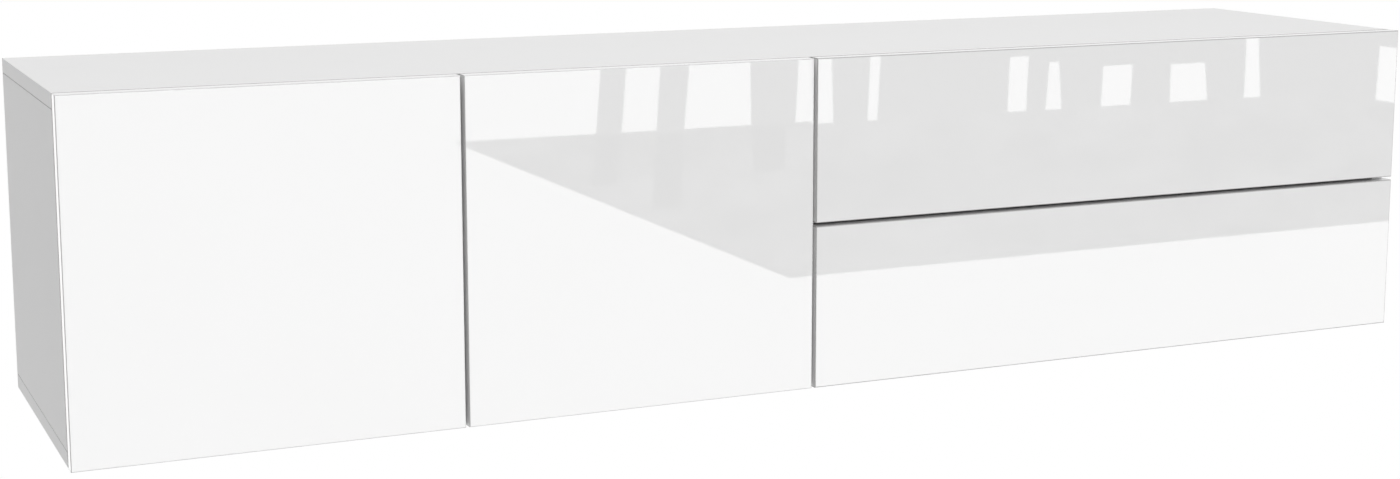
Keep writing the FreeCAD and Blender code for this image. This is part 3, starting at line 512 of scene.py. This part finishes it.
plastics = {
    "greyMould": {"tone": 0.36, "warm": -0.006, "names": ["door_latch_housings", "drawer_push_housings"]},
    "whiteMould": {"tone": 0.78, "warm": 0.004, "names": ["hanger_bodies"]},
    "darkMould": {"tone": 0.035, "warm": -0.001, "names": []},  # for the slide levers
}
plungers = {
    "tone": 0.62, "warm": 0.0, "tip": 0.0012, "tipFade": 0.8, "tipTone": 0.10,  # magnet or pad at the front
    "names": [f"{door}_latch_plunger" for door in doors]
    + [f"{drawer}_drawer_plungers" for drawer in drawers],
}
moulded = {
    "grain": 0.0006, "patch": 0.02, "depth": 0.00002, "rough": 0.42, "smudgeRough": 0.12, "drift": 0.93,
}
beech = {
    "pale": (0.66, 0.47, 0.29, 1), "dark": (0.48, 0.31, 0.17, 1), "stretch": (260.0, 260.0, 1400.0),
    "paleShown": (0.35, 0.65), "roughShown": (0.3, 0.7), "rough": (0.55, 0.72), "depth": 0.00005,
    "names": ["carcass_dowels"] + [f"{drawer}_drawer_dowels" for drawer in drawers],
}


def plasticMaterial(name, look, front=None):
    material, tree, shader, where = startMaterial(name)
    face = useGroup(tree, skin, {"Place": where, "Grain": moulded["grain"], "Patch": moulded["patch"]})
    dull = grey(look["tone"] * moulded["drift"], look["warm"])
    tone = mixColour(tree, face["Drift"], dull, grey(look["tone"], look["warm"]))
    if front is not None:
        y, end = axes(tree, where)["Y"], look["tip"]
        tip = spread(tree, y, front + end * look["tipFade"], front + end, 1.0, 0.0)
        tone = mixColour(tree, tip, tone, grey(look["tipTone"]))
    rough = moulded["rough"]
    feed(tree, shader, Base_Color=tone, Normal=relief(tree, face["Height"], moulded["depth"]),
         Roughness=spread(tree, face["Smudge"], 0.0, 1.0, rough, rough + moulded["smudgeRough"]))
    return material


for plasticName, look in plastics.items():
    dressAll(look["names"], plasticMaterial(plasticName, look))
for name in plungers["names"]:
    dress(name, plasticMaterial(name + "Mould", plungers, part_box(name)[0].y))


def beechMaterial():
    material, tree, shader, where = startMaterial("beech")
    rays = noise(tree, vecCalc(tree, "MULTIPLY", where, beech["stretch"]), 1.0, detail=5.0, roughness=0.6)
    pale = spread(tree, rays, *beech["paleShown"])
    feed(tree, shader, Base_Color=mixColour(tree, pale, beech["dark"], beech["pale"]),
         Roughness=spread(tree, rays, *beech["roughShown"], *beech["rough"]),
         Normal=relief(tree, rays, beech["depth"]))
    return material


dressAll(beech["names"], beechMaterial())
print("plastics and dowels finished")


# Small hardware, formed where the frame has its plain solids

hardware = {"weld": 1e-6, "near": 1e-5, "flush": 1e-4, "sharp": 32.0}  # metres, and the crease angle


# The points of each separate solid of a node
def solidsOf(name):
    shape = bmesh.new()
    shape.from_mesh(nodes[name].data)
    bmesh.ops.remove_doubles(shape, verts=shape.verts, dist=hardware["weld"])
    solids = []
    seen = set()
    for first in shape.verts:
        if first in seen:
            continue
        seen.add(first)
        waiting = [first]
        points = []
        while waiting:
            vert = waiting.pop()
            points.append(vert.co.copy())
            for edge in vert.link_edges:
                other = edge.other_vert(vert)
                if other not in seen:
                    seen.add(other)
                    waiting.append(other)
        solids.append(points)
    shape.free()
    return solids


# One mesh with a form added for each solid of a node
def formAll(name, addForm):
    shape = bmesh.new()
    for points in solidsOf(name):
        addForm(shape, points)
    return shape


def boxOf(points):
    low = Vector([min(point[axis] for point in points) for axis in range(3)])
    high = Vector([max(point[axis] for point in points) for axis in range(3)])
    return low, high


def smooth(value, low, high):
    share = min(max((value - low) / (high - low), 0.0), 1.0)
    return share * share * (3.0 - 2.0 * share)


# Turns a profile of (radius, height) about an axis; the first rings may be dented
def turn(shape, base, axis, profile, segments, dented=0, dent=None, loop=False):
    matrix = Vector((0, 0, 1)).rotation_difference(axis).to_matrix()
    rings = []
    for index, (radius, height) in enumerate(profile):
        ring = []
        for step in range(segments if radius else 1):
            angle = 2 * math.pi * step / segments
            u, v = radius * math.cos(angle), radius * math.sin(angle)
            drop = dent(u, v) if index < dented else 0.0
            ring.append(shape.verts.new(base + matrix @ Vector((u, v, height - drop))))
        rings.append(ring)
    pairs = list(zip(rings, rings[1:]))
    if loop:
        pairs.append((rings[-1], rings[0]))
    for inner, outer in pairs:
        for step in range(segments):
            after = (step + 1) % segments
            if len(inner) == 1:
                shape.faces.new((inner[0], outer[step], outer[after]))
            elif len(outer) == 1:
                shape.faces.new((inner[step], outer[0], inner[after]))
            else:
                shape.faces.new((inner[step], outer[step], outer[after], inner[after]))


def addBar(shape, low, high, bevel):
    low, high = Vector(low), Vector(high)
    made = bmesh.ops.create_cube(shape, size=1.0)["verts"]
    centre, size = (low + high) / 2, high - low
    for vert in made:
        vert.co = Vector([centre[axis] + vert.co[axis] * size[axis] for axis in range(3)])
    edges = list(dict.fromkeys(edge for vert in made for edge in vert.link_edges))  # each once, in order
    bmesh.ops.bevel(shape, geom=edges, offset=bevel, segments=2, profile=0.5, affect="EDGES")


def addToScene(name, data):
    thing = bpy.data.objects.new(name, data)
    bpy.context.scene.collection.objects.link(thing)
    return thing


# A bevel leaves faces in no fixed order: this puts them in the order of their points
def orderFaces(shape):
    shape.verts.index_update()
    ordered = sorted(shape.faces, key=lambda face: sorted(vert.index for vert in face.verts))
    for index, face in enumerate(ordered):
        face.index = index
    shape.faces.sort()


def addPiece(name, shape, finish, body, replaced=()):
    bmesh.ops.recalc_face_normals(shape, faces=shape.faces)
    orderFaces(shape)
    mesh = bpy.data.meshes.new(name)
    shape.to_mesh(mesh)
    shape.free()
    mesh.polygons.foreach_set("use_smooth", [True] * len(mesh.polygons))
    mesh.set_sharp_from_angle(angle=math.radians(hardware["sharp"]))
    mesh.materials.append(finishes[finish])
    piece = addToScene(name, mesh)
    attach(piece, body)
    if replaced:
        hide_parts(*replaced)


# Cross slots, sized by their screw or cam as shares of its radius

crossCut = {
    "side": (0.75, 1.25), "end": (0.85, 1.1),  # where the walls stand, as shares of width and length
    "rise": 0.45,  # how far the floor comes up towards the ends
}


def crossSlot(radius, look):
    wide, far, deep = (radius * look[key] for key in ("slotWide", "slotLong", "slotDeep"))
    sideLow, sideHigh = (wide * share for share in crossCut["side"])
    endLow, endHigh = (far * share for share in crossCut["end"])

    def dent(u, v):
        across, along = sorted((abs(u), abs(v)))
        side = 1.0 - smooth(across, sideLow, sideHigh)
        end = 1.0 - smooth(along, endLow, endHigh)
        return deep * side * end * (1.0 - crossCut["rise"] * along / far)

    return dent


# Pan-head screws with a cross slot

screws = {
    "rings": 13, "segments": 48, "crown": 0.42, "slotWide": 0.16, "slotLong": 0.6, "slotDeep": 0.34,
    "head": 0.95, "flat": 0.97,  # shares of the radius: what counts as the head, and where its rim begins
    "rim": 0.12, "loneRim": 0.8,  # the rim's drop, and its height on a head that is made alone
    "shank": 0.8,  # share of the length before the point
    "pieces": {
        "hingePlateScrews": ("hinge_plate_screws", "carcass"),
        "slideScrews": ("slide_screws", "carcass"),
        "hangerScrews": ("hanger_screws", "carcass"),
        "leftCupScrews": ("left_cup_screws", "left_door"),
        "middleCupScrews": ("middle_cup_screws", "middle_door"),
    },
}


def crownRings(radius, height, crown):
    shares = [ring / screws["rings"] for ring in range(screws["rings"] + 1)]
    return [(radius * screws["flat"] * share, height - crown * share ** 3) for share in shares]


def addScrew(shape, points):
    low, high = boxOf(points)
    size = high - low
    along = max(range(3), key=lambda axis: size[axis])
    middle = (low + high) / 2
    axis = Vector([1.0 if index == along else 0.0 for index in range(3)])
    reach = [((point - middle) - axis * (point - middle).dot(axis)).length for point in points]
    radius = max(reach)
    head = [point[along] for point, away in zip(points, reach) if away > radius * screws["head"]]
    outward = 1.0 if sum(head) / len(head) > middle[along] else -1.0
    foot, top = (min(head), max(head)) if outward > 0 else (max(head), min(head))
    tip = low[along] if outward > 0 else high[along]
    shank = max(away for point, away in zip(points, reach) if abs(point[along] - tip) < hardware["near"])
    base = middle.copy()
    base[along] = foot
    thick, length = abs(top - foot), abs(tip - foot)
    crown = thick * screws["crown"]
    profile = crownRings(radius, thick, crown)
    profile += [(radius, thick - crown - thick * screws["rim"]), (radius, 0.0)]
    profile += [(shank, 0.0), (shank, -length * screws["shank"]), (0.0, -length)]
    dent = crossSlot(radius, screws)
    turn(shape, base, axis * outward, profile, screws["segments"], screws["rings"], dent)


# A screw head alone, seated on the face that it holds
def addHead(shape, seat, axis, look):
    radius, height, crown = look["radius"], look["height"], look["crown"]
    profile = crownRings(radius, height, crown)
    profile += [(radius, (height - crown) * screws["loneRim"]), (radius, 0.0), (0.0, 0.0)]
    turn(shape, seat, axis, profile, screws["segments"], screws["rings"], crossSlot(radius, screws))


for pieceName, (name, body) in screws["pieces"].items():
    addPiece(pieceName, formAll(name, addScrew), "screwZinc", body, [name])
print("screws formed")


# Cam locks: a ringed face with a cross slot, flush with its board

cams = {
    "segments": 64, "rings": 15, "slotWide": 0.11, "slotLong": 0.46, "slotDeep": 0.28,
    "face": 0.78, "groove": (0.80, 0.82, 0.88, 0.90), "bevel": 0.03,  # shares of the radius
    "grooveDeep": 0.0005,
    "boards": ["left_side_panel", "right_side_panel", "left_partition", "right_partition"],
}


def addCam(shape, points):
    low, high = boxOf(points)
    radius = (high.z - low.z) / 2
    faces = [corner.x for name in cams["boards"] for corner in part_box(name)]
    outward = 1.0 if any(abs(high.x - face) < hardware["flush"] for face in faces) else -1.0
    base = (low + high) / 2
    base.x = high.x if outward > 0 else low.x
    rings, deep, bevel = cams["rings"], cams["grooveDeep"], radius * cams["bevel"]
    profile = [(radius * cams["face"] * ring / rings, 0.0) for ring in range(rings + 1)]
    start, floorStart, floorEnd, end = (radius * share for share in cams["groove"])
    profile += [(start, 0.0), (floorStart, -deep), (floorEnd, -deep), (end, 0.0)]
    profile += [(radius - bevel, 0.0), (radius, -bevel), (radius, low.x - high.x), (0.0, low.x - high.x)]
    turn(shape, base, Vector((outward, 0, 0)), profile, cams["segments"], rings, crossSlot(radius, cams))


addPiece("camFaces", formAll("cam_locks", addCam), "castZinc", "carcass", ["cam_locks"])
print("cam locks formed")


# Adjusting screws on the hinge arms

adjusters = {"radius": 0.0034, "height": 0.0013, "crown": 0.0003, "fromRear": (0.010, 0.031)}


def addAdjusters(shape, points):
    low, high = boxOf(points)
    for fromRear in adjusters["fromRear"]:
        seat = Vector((high.x, high.y - fromRear, (low.z + high.z) / 2))
        addHead(shape, seat, Vector((1, 0, 0)), adjusters)


addPiece("hingeAdjusters", formAll("hinge_arms", addAdjusters), "screwZinc", "carcass")
print("hinge screws formed")


# Ball rows: balls held in a thin strip, in the room of each plain cage

ballRows = {
    "spacing": 0.008, "inset": 0.003, "ball": 0.47, "arcs": 8, "segments": 12,
    "strip": 0.34, "stripBevel": 0.0002,
}


def addStrip(shape, low, high):
    slack = Vector((0, 0, (high.z - low.z) * (1 - ballRows["strip"]) / 2))
    addBar(shape, low + slack, high - slack, ballRows["stripBevel"])


def addBalls(shape, low, high):
    middle = (low + high) / 2
    radius = (high.z - low.z) * ballRows["ball"]
    arcs = [math.pi * step / ballRows["arcs"] for step in range(ballRows["arcs"] + 1)]
    profile = [(radius * math.sin(arc), radius * math.cos(arc)) for arc in arcs]
    profile[0], profile[-1] = (0.0, radius), (0.0, -radius)
    spacing = ballRows["spacing"]
    count = int((high.y - low.y - 2 * ballRows["inset"]) / spacing)
    start = middle.y - count * spacing / 2
    for index in range(count + 1):
        centre = Vector((middle.x, start + index * spacing, middle.z))
        turn(shape, centre, Vector((0, 0, 1)), profile, ballRows["segments"])


for drawer in drawers:
    cages = f"{drawer}_ball_cages"
    shape = bmesh.new()
    rows = [boxOf(points) for points in solidsOf(cages)]
    for addPart in (addStrip, addBalls):
        for low, high in rows:
            addPart(shape, low, high)
    addPiece(f"{drawer}BallRows", shape, "cageSteel", f"{drawer}_slide_middle", [cages])
print("ball rows formed")


# Screws and release levers in the open channels of the drawers' slide members

channels = {
    "screw": {"radius": 0.0031, "height": 0.0014, "crown": 0.0006},
    "screwsFromFront": (0.024, 0.128, 0.262),
    "leverFromFront": 0.052, "leverSize": (0.0018, 0.052, 0.0075), "leverBevel": 0.0007,
    "tail": (0.016, 0.0026), "tailBevel": 0.0005,  # length and thickness of the lever's thin end
}


# Which way along x a slide member looks from the drawer
def awayFromDrawer(low, high):
    floorLow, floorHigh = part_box("upper_drawer_bottom")
    return -1.0 if low.x + high.x < floorLow.x + floorHigh.x else 1.0


def addChannel(heads, levers, points):
    low, high = boxOf(points)
    outward = awayFromDrawer(low, high)
    planes = sorted({round(point.x, 5) for point in points}, key=lambda x: x * outward)  # to 0.01 mm
    web = planes[1]
    z = (low.z + high.z) / 2
    for fromFront in channels["screwsFromFront"]:
        addHead(heads, Vector((web, low.y + fromFront, z)), Vector((outward, 0, 0)), channels["screw"])
    thick, length, tall = channels["leverSize"]
    tail, thin = channels["tail"]
    start = low.y + channels["leverFromFront"]
    end = start + length
    near, far = sorted((web, web + outward * thick))
    addBar(levers, (near, start, z - tall / 2), (far, end, z + tall / 2), channels["leverBevel"])
    addBar(levers, (near, end, z - thin / 2), (far, end + tail, z + thin / 2), channels["tailBevel"])


for drawer in drawers:
    heads = bmesh.new()
    levers = bmesh.new()
    for points in solidsOf(f"{drawer}_slide_drawer_members"):
        addChannel(heads, levers, points)
    addPiece(f"{drawer}MemberScrews", heads, "screwZinc", f"{drawer}_drawer")
    addPiece(f"{drawer}SlideLevers", levers, "darkMould", f"{drawer}_drawer")
print("slide details formed")


# Pressed beads and round stops on the webs of the middle slide members

beads = {
    "proud": 0.0009, "slope": 0.0006,
    "longFromFront": (0.060, 0.135),  # centres of the long bead's round ends
    "longHalf": 0.0045, "longArcs": 12,
    "stopsFromFront": (0.014, 0.034), "stopHalf": 0.0028, "stopSegments": 32,
}


def addBead(shape, web, outward, ends, z):
    rings = []
    for inset, lift in ((0.0, 0.0), (beads["slope"], beads["proud"])):
        half = beads["longHalf"] - inset
        ring = []
        for end, start in ((ends[1], -0.5), (ends[0], 0.5)):  # each round end's start, in half turns
            for step in range(beads["longArcs"] + 1):
                angle = math.pi * (start + step / beads["longArcs"])
                spot = (web + outward * lift, end + half * math.cos(angle), z + half * math.sin(angle))
                ring.append(shape.verts.new(spot))
        rings.append(ring)
    base, top = rings
    for index in range(len(base)):
        after = (index + 1) % len(base)
        shape.faces.new((base[index], base[after], top[after], top[index]))
    shape.faces.new(base)
    shape.faces.new(top)


def addPressings(shape, points):
    low, high = boxOf(points)
    outward = awayFromDrawer(low, high)
    web = low.x if outward < 0 else high.x
    z = (low.z + high.z) / 2
    addBead(shape, web, outward, [low.y + fromFront for fromFront in beads["longFromFront"]], z)
    half, proud = beads["stopHalf"], beads["proud"]
    profile = [(0.0, proud), (half - beads["slope"], proud), (half, 0.0), (0.0, 0.0)]
    for fromFront in beads["stopsFromFront"]:
        base = Vector((web, low.y + fromFront, z))
        turn(shape, base, Vector((outward, 0, 0)), profile, beads["stopSegments"])


for drawer in drawers:
    shape = formAll(f"{drawer}_slide_middle_members", addPressings)
    addPiece(f"{drawer}MiddleBeads", shape, "slideSteel", f"{drawer}_slide_middle")
print("middle members pressed")


# Strike plates: a disc with a rolled rim, held by a sunk screw

strikes = {
    "rim": 0.0003, "rimRound": 0.3, "head": 0.0028, "sunk": 0.0001, "rings": 13, "segments": 64,
    "groove": (1.03, 1.10, 1.22), "grooveDeep": 0.0003,  # shares of the head's radius
    "slotWide": 0.15, "slotLong": 0.62, "slotDeep": 0.13,
}


def addStrike(shape, points):
    low, high = boxOf(points)
    middle = (low + high) / 2
    radius, thick = (high.x - low.x) / 2, high.y - low.y
    head, rim, rings = strikes["head"], strikes["rim"], strikes["rings"]
    profile = [(head * ring / rings, thick - strikes["sunk"]) for ring in range(rings + 1)]
    start, end, edge = (head * share for share in strikes["groove"])
    floor, curve = thick - strikes["grooveDeep"], rim * strikes["rimRound"]
    profile += [(start, floor), (end, floor), (edge, thick), (radius - rim, thick)]
    profile += [(radius - curve, thick - curve), (radius, thick - rim), (radius, 0.0), (0.0, 0.0)]
    base = Vector((middle.x, low.y, middle.z))
    turn(shape, base, Vector((0, 1, 0)), profile, strikes["segments"], rings, crossSlot(head, strikes))


for door in doors:
    plate = f"{door}_strike_plate"
    addPiece(f"{door}Strike", formAll(plate, addStrike), "nickelPlate", f"{door}_door", [plate])
print("strike plates formed")


# Collars, ribs and fixing feet of the door latches

latches = {
    "collar": (0.0044, 0.0066, 0.0009),  # inner radius, outer radius, height
    "collarBevel": (0.0006, 0.0005), "collarSegments": 48,
    "ribs": 3, "ribSize": (0.0005, 0.0012), "ribEnds": (0.010, 0.006), "ribBevel": 0.0002,
    "foot": (0.010, 0.0025), "footBevel": 0.0006,  # length and thickness
    "footScrew": {"radius": 0.0028, "height": 0.0011, "crown": 0.0005},
}


def addLatch(shape, heads, points):
    low, high = boxOf(points)
    middle = (low + high) / 2
    inner, outer, height = latches["collar"]
    inward, down = latches["collarBevel"]
    profile = [(inner, 0.0), (inner, height), (outer - inward, height)]
    profile += [(outer, height - down), (outer, 0.0)]
    base = Vector((middle.x, low.y, middle.z))
    turn(shape, base, Vector((0, -1, 0)), profile, latches["collarSegments"], loop=True)
    proud, wide = latches["ribSize"]
    first, last = low.y + latches["ribEnds"][0], high.y - latches["ribEnds"][1]
    for index in range(latches["ribs"]):
        z = low.z + (index + 1) * (high.z - low.z) / (latches["ribs"] + 1)
        for near, far in ((low.x - proud, low.x), (high.x, high.x + proud)):
            addBar(shape, (near, first, z - wide / 2), (far, last, z + wide / 2), latches["ribBevel"])
    length, thick = latches["foot"]
    under = high.z - thick
    addBar(shape, (low.x, high.y, under), (high.x, high.y + length, high.z), latches["footBevel"])
    addHead(heads, Vector((middle.x, high.y + length / 2, under)), Vector((0, 0, -1)), latches["footScrew"])


shape = bmesh.new()
heads = bmesh.new()
for points in solidsOf("door_latch_housings"):
    addLatch(shape, heads, points)
addPiece("latchTrim", shape, "greyMould", "carcass")
addPiece("latchScrews", heads, "screwZinc", "carcass")
print("latches formed")


# Studio: pale floor, soft lamps, and cards that only mirror in the gloss

studio = {
    "floorDrop": 1.0,  # from the console's underside down to the floor
    "floorRadius": 7.0, "floorSegments": 96, "floorTone": 0.85,
    "floorFade": (1.3, 2.6), "floorGlow": 0.45,
    "ambient": 0.48,
    "camera": (-1.1245, -2.5532, 0.4411),
    "yaw": 24.293,  # degrees to the right
    "pitch": -9.136,
    "lens": 57.96, "sensor": 36.0,
    "shift": -0.04,
}


# 1 for rays that show the backdrop as it is: seen, mirrored or passed through
def shownRays(tree):
    path = place(tree, "ShaderNodeLightPath").outputs
    bent = calc(tree, "MAXIMUM", path["Is Glossy Ray"], path["Is Transmission Ray"])
    return calc(tree, "MAXIMUM", path["Is Camera Ray"], bent)


def makeWorld():
    world = bpy.data.worlds.new("studioWorld")
    bpy.context.scene.world = world
    world.use_nodes = True
    tree = world.node_tree
    tree.nodes.clear()
    shown = shownRays(tree)
    ambient = place(tree, "ShaderNodeBackground", {"Color": grey(1.0), "Strength": studio["ambient"]})
    white = place(tree, "ShaderNodeBackground", {"Color": grey(1.0), "Strength": 1.0})
    both = place(tree, "ShaderNodeMixShader", {0: shown, 1: ambient.outputs[0], 2: white.outputs[0]})
    place(tree, "ShaderNodeOutputWorld", {0: both.outputs[0]})


# White to the camera far out; nearer, a matt floor that keeps the shadow
def floorMaterial():
    material, tree = emptyMaterial("paleFloor")
    where = place(tree, "ShaderNodeTexCoord").outputs["Object"]
    distance = place(tree, "ShaderNodeVectorMath", {0: where}, operation="LENGTH").outputs["Value"]
    shown = shownRays(tree)
    far = calc(tree, "MULTIPLY", spread(tree, distance, *studio["floorFade"]), shown)
    matt = place(tree, "ShaderNodeBsdfDiffuse", {"Color": grey(studio["floorTone"])})
    strength = calc(tree, "MULTIPLY", shown, studio["floorGlow"])
    lift = place(tree, "ShaderNodeEmission", {"Strength": strength})
    near = place(tree, "ShaderNodeAddShader", {0: matt.outputs[0], 1: lift.outputs[0]})
    glow = place(tree, "ShaderNodeEmission", {"Color": grey(1.0), "Strength": 1.0})
    both = place(tree, "ShaderNodeMixShader", {0: far, 1: near.outputs[0], 2: glow.outputs[0]})
    place(tree, "ShaderNodeOutputMaterial", {0: both.outputs[0]})
    return material


def makeFloor():
    low, high = cadBox
    mesh = bpy.data.meshes.new("floor")
    shape = bmesh.new()
    segments, radius = studio["floorSegments"], studio["floorRadius"]
    bmesh.ops.create_circle(shape, cap_ends=True, segments=segments, radius=radius)
    shape.to_mesh(mesh)
    shape.free()
    mesh.materials.append(floorMaterial())
    floor = addToScene("floor", mesh)
    floor.location = ((low.x + high.x) / 2, (low.y + high.y) / 2, low.z - studio["floorDrop"])


# The front light comes from the right and a little above, so the gaps between fronts stay dark

lamps = {
    "overhead": {"at": (0.0, -0.6, 2.6), "toward": (0.0, -0.15, 0.0), "size": (4.0, 3.0), "power": 31.6},
    "front": {"right": 30.0, "above": 15.0, "softness": 25.0, "strength": 1.16},  # degrees off the fronts
}


def addLamp(light, aim):
    lamp = addToScene(light.name, light)
    lamp.rotation_euler = aim.to_track_quat("-Z", "Y").to_euler()
    lamp.visible_glossy = False
    return lamp


def makeLamps():
    look = lamps["overhead"]
    light = bpy.data.lights.new("overheadLamp", "AREA")
    light.shape = "RECTANGLE"
    light.size, light.size_y = look["size"]
    light.energy = look["power"]
    lamp = addLamp(light, Vector(look["toward"]) - Vector(look["at"]))
    lamp.location = look["at"]
    look = lamps["front"]
    light = bpy.data.lights.new("frontLamp", "SUN")
    light.energy = look["strength"]
    light.angle = math.radians(look["softness"])
    right, above = math.radians(look["right"]), math.radians(look["above"])
    flat = math.cos(above)
    addLamp(light, Vector((-math.sin(right) * flat, math.cos(right) * flat, -math.sin(above))))


# What the gloss mirrors: outlines are given where they show on the fronts, as (x, z) in metres

mirrored = {
    "cardPlace": -3.4,  # y of the bright card
    "step": 0.04,  # from one layer of cards to the next
    "bright": 4.6, "dim": 0.9, "dark": 0.45,
    "sheet": [(-1.6, -0.7), (1.6, -0.7), (1.6, 0.7), (-1.6, 0.7)],
    "field": (0.84, 0.21, 0.9),  # half width and half height of the bright part, and its fade
    "rightShare": 0.83,  # the bright part dims to this on the right, where the gloss mirrors more
    "skyline": 0.113, "ceiling": 0.20,
    "floor": [(-0.416, 0.117), (-0.031, -0.057), (0.95, -0.054), (0.95, 0.113)],
    "mottle": {"tone": 0.35, "stretch": (1.0, 1.0, 2.5), "scale": 3.0, "shown": (0.3, 0.7)},
    "wall": (-0.005, 0.95),
    "posts": [((-0.259, -0.230), (-0.252, -0.223)), ((-0.190, -0.158), (-0.184, -0.150)),
              ((-0.078, -0.025), (-0.080, -0.020))],
    "feet": [((-0.264, -0.236), (-0.259, -0.230), 0.061), ((-0.195, -0.161), (-0.190, -0.158), 0.031),
             ((-0.075, -0.037), (-0.078, -0.037), 0.064)],
    "windows": [((-0.005, 0.022), (-0.003, 0.019), 0.20), ((0.065, 0.077), (0.068, 0.081), 0.20),
                ((0.246, 0.271), (0.248, 0.273), 0.176), ((0.297, 0.319), (0.301, 0.314), 0.168),
                ((0.373, 0.414), (0.375, 0.416), 0.160), ((0.470, 0.524), (0.470, 0.519), 0.158),
                ((0.578, 0.602), (0.579, 0.595), 0.20)],
    "corner": [(0.779, 0.100), (0.815, 0.094), (0.815, 0.162), (0.782, 0.167)],
    "edge": [(-1.32, 2.5, -1.1), (-1.13, 2.5, -1.1), (-1.13, 2.5, -0.08), (-1.32, 2.5, -0.08)],
    "edgeBright": 1.6,  # this card stands where it says, as (x, y, z), and shows in the left door's edge
}


def behindFronts(outline, layer):
    eye = Vector(studio["camera"])
    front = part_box("left_door")[0].y
    mirrorEye = Vector((eye.x, 2 * front - eye.y, eye.z))
    cardY = mirrored["cardPlace"] + layer * mirrored["step"]
    reach = (cardY - mirrorEye.y) / (front - mirrorEye.y)
    return [mirrorEye + (Vector((x, front, z)) - mirrorEye) * reach for x, z in outline]


def upright(foot, head, low, high):
    return [(foot[0], low), (foot[1], low), (head[1], high), (head[0], high)]


# Full over the part of the bright card that the fronts show, falling to 1 around it
def fieldGlow(tree, where):
    wide, high, fade = mirrored["field"]
    low, top = behindFronts([(-wide, -high), (wide, high)], 0)
    split = axes(tree, where)
    mask = 1.0
    for axis, first, last in (("X", low.x, top.x), ("Z", low.z, top.z)):
        mask = calc(tree, "MULTIPLY", spread(tree, split[axis], first - fade, first), mask)
        mask = calc(tree, "MULTIPLY", spread(tree, split[axis], last, last + fade, 1.0, 0.0), mask)
    dimmed = spread(tree, split["X"], 0.0, top.x, 1.0, mirrored["rightShare"])
    return spread(tree, calc(tree, "MULTIPLY", dimmed, mask), 0.0, 1.0, 1.0, mirrored["bright"])


# The floor card's tone wanders a little
def mottledGlow(tree, where):
    look, dim = mirrored["mottle"], mirrored["dim"]
    stretched = vecCalc(tree, "MULTIPLY", where, look["stretch"])
    veins = noise(tree, stretched, look["scale"], detail=8.0, roughness=0.7)
    return spread(tree, veins, *look["shown"], dim - look["tone"], dim + look["tone"])


# The glow is a strength, or a function that makes one vary over the card
def makeCard(name, points, glow):
    material, tree = emptyMaterial(name)
    if callable(glow):
        glow = glow(tree, place(tree, "ShaderNodeTexCoord").outputs["Object"])
    light = place(tree, "ShaderNodeEmission", {"Color": grey(1.0), "Strength": glow})
    place(tree, "ShaderNodeOutputMaterial", {0: light.outputs[0]})
    mesh = bpy.data.meshes.new(name)
    mesh.from_pydata(points, [], [tuple(range(len(points)))])
    mesh.materials.append(material)
    card = addToScene(name, mesh)
    for ray in ("camera", "diffuse", "shadow", "transmission", "volume_scatter"):
        setattr(card, "visible_" + ray, False)


def makeCards():
    sky, top, wall = mirrored["skyline"], mirrored["ceiling"], mirrored["wall"]
    bright, dim, dark = mirrored["bright"], mirrored["dim"], mirrored["dark"]
    makeCard("brightCard", behindFronts(mirrored["sheet"], 0), fieldGlow)
    makeCard("floorCard", behindFronts(mirrored["floor"], 1), mottledGlow)
    makeCard("wallCard", behindFronts(upright(wall, wall, sky, top), 1), dim)
    for index, (foot, head) in enumerate(mirrored["posts"]):
        makeCard(f"postCard{index}", behindFronts(upright(foot, head, sky, top), 1), dim)
    for index, (foot, head, low) in enumerate(mirrored["feet"]):
        makeCard(f"footCard{index}", behindFronts(upright(foot, head, low, sky), 2), dark)
    for index, (foot, head, high) in enumerate(mirrored["windows"]):
        makeCard(f"windowCard{index}", behindFronts(upright(foot, head, sky, high), 2), bright)
    makeCard("cornerCard", behindFronts(mirrored["corner"], 2), bright)
    makeCard("edgeCard", mirrored["edge"], mirrored["edgeBright"])


def makeCamera():
    data = bpy.data.cameras.new("camera")
    data.lens = studio["lens"]
    data.sensor_width = studio["sensor"]
    data.sensor_fit = "HORIZONTAL"
    data.shift_y = studio["shift"]
    camera = addToScene("camera", data)
    camera.location = studio["camera"]
    camera.rotation_euler = (math.radians(90 + studio["pitch"]), 0, math.radians(-studio["yaw"]))
    bpy.context.scene.camera = camera


makeWorld()
makeFloor()
makeLamps()
makeCards()
makeCamera()
bpy.context.scene.view_settings.view_transform = "Standard"
print("studio set")
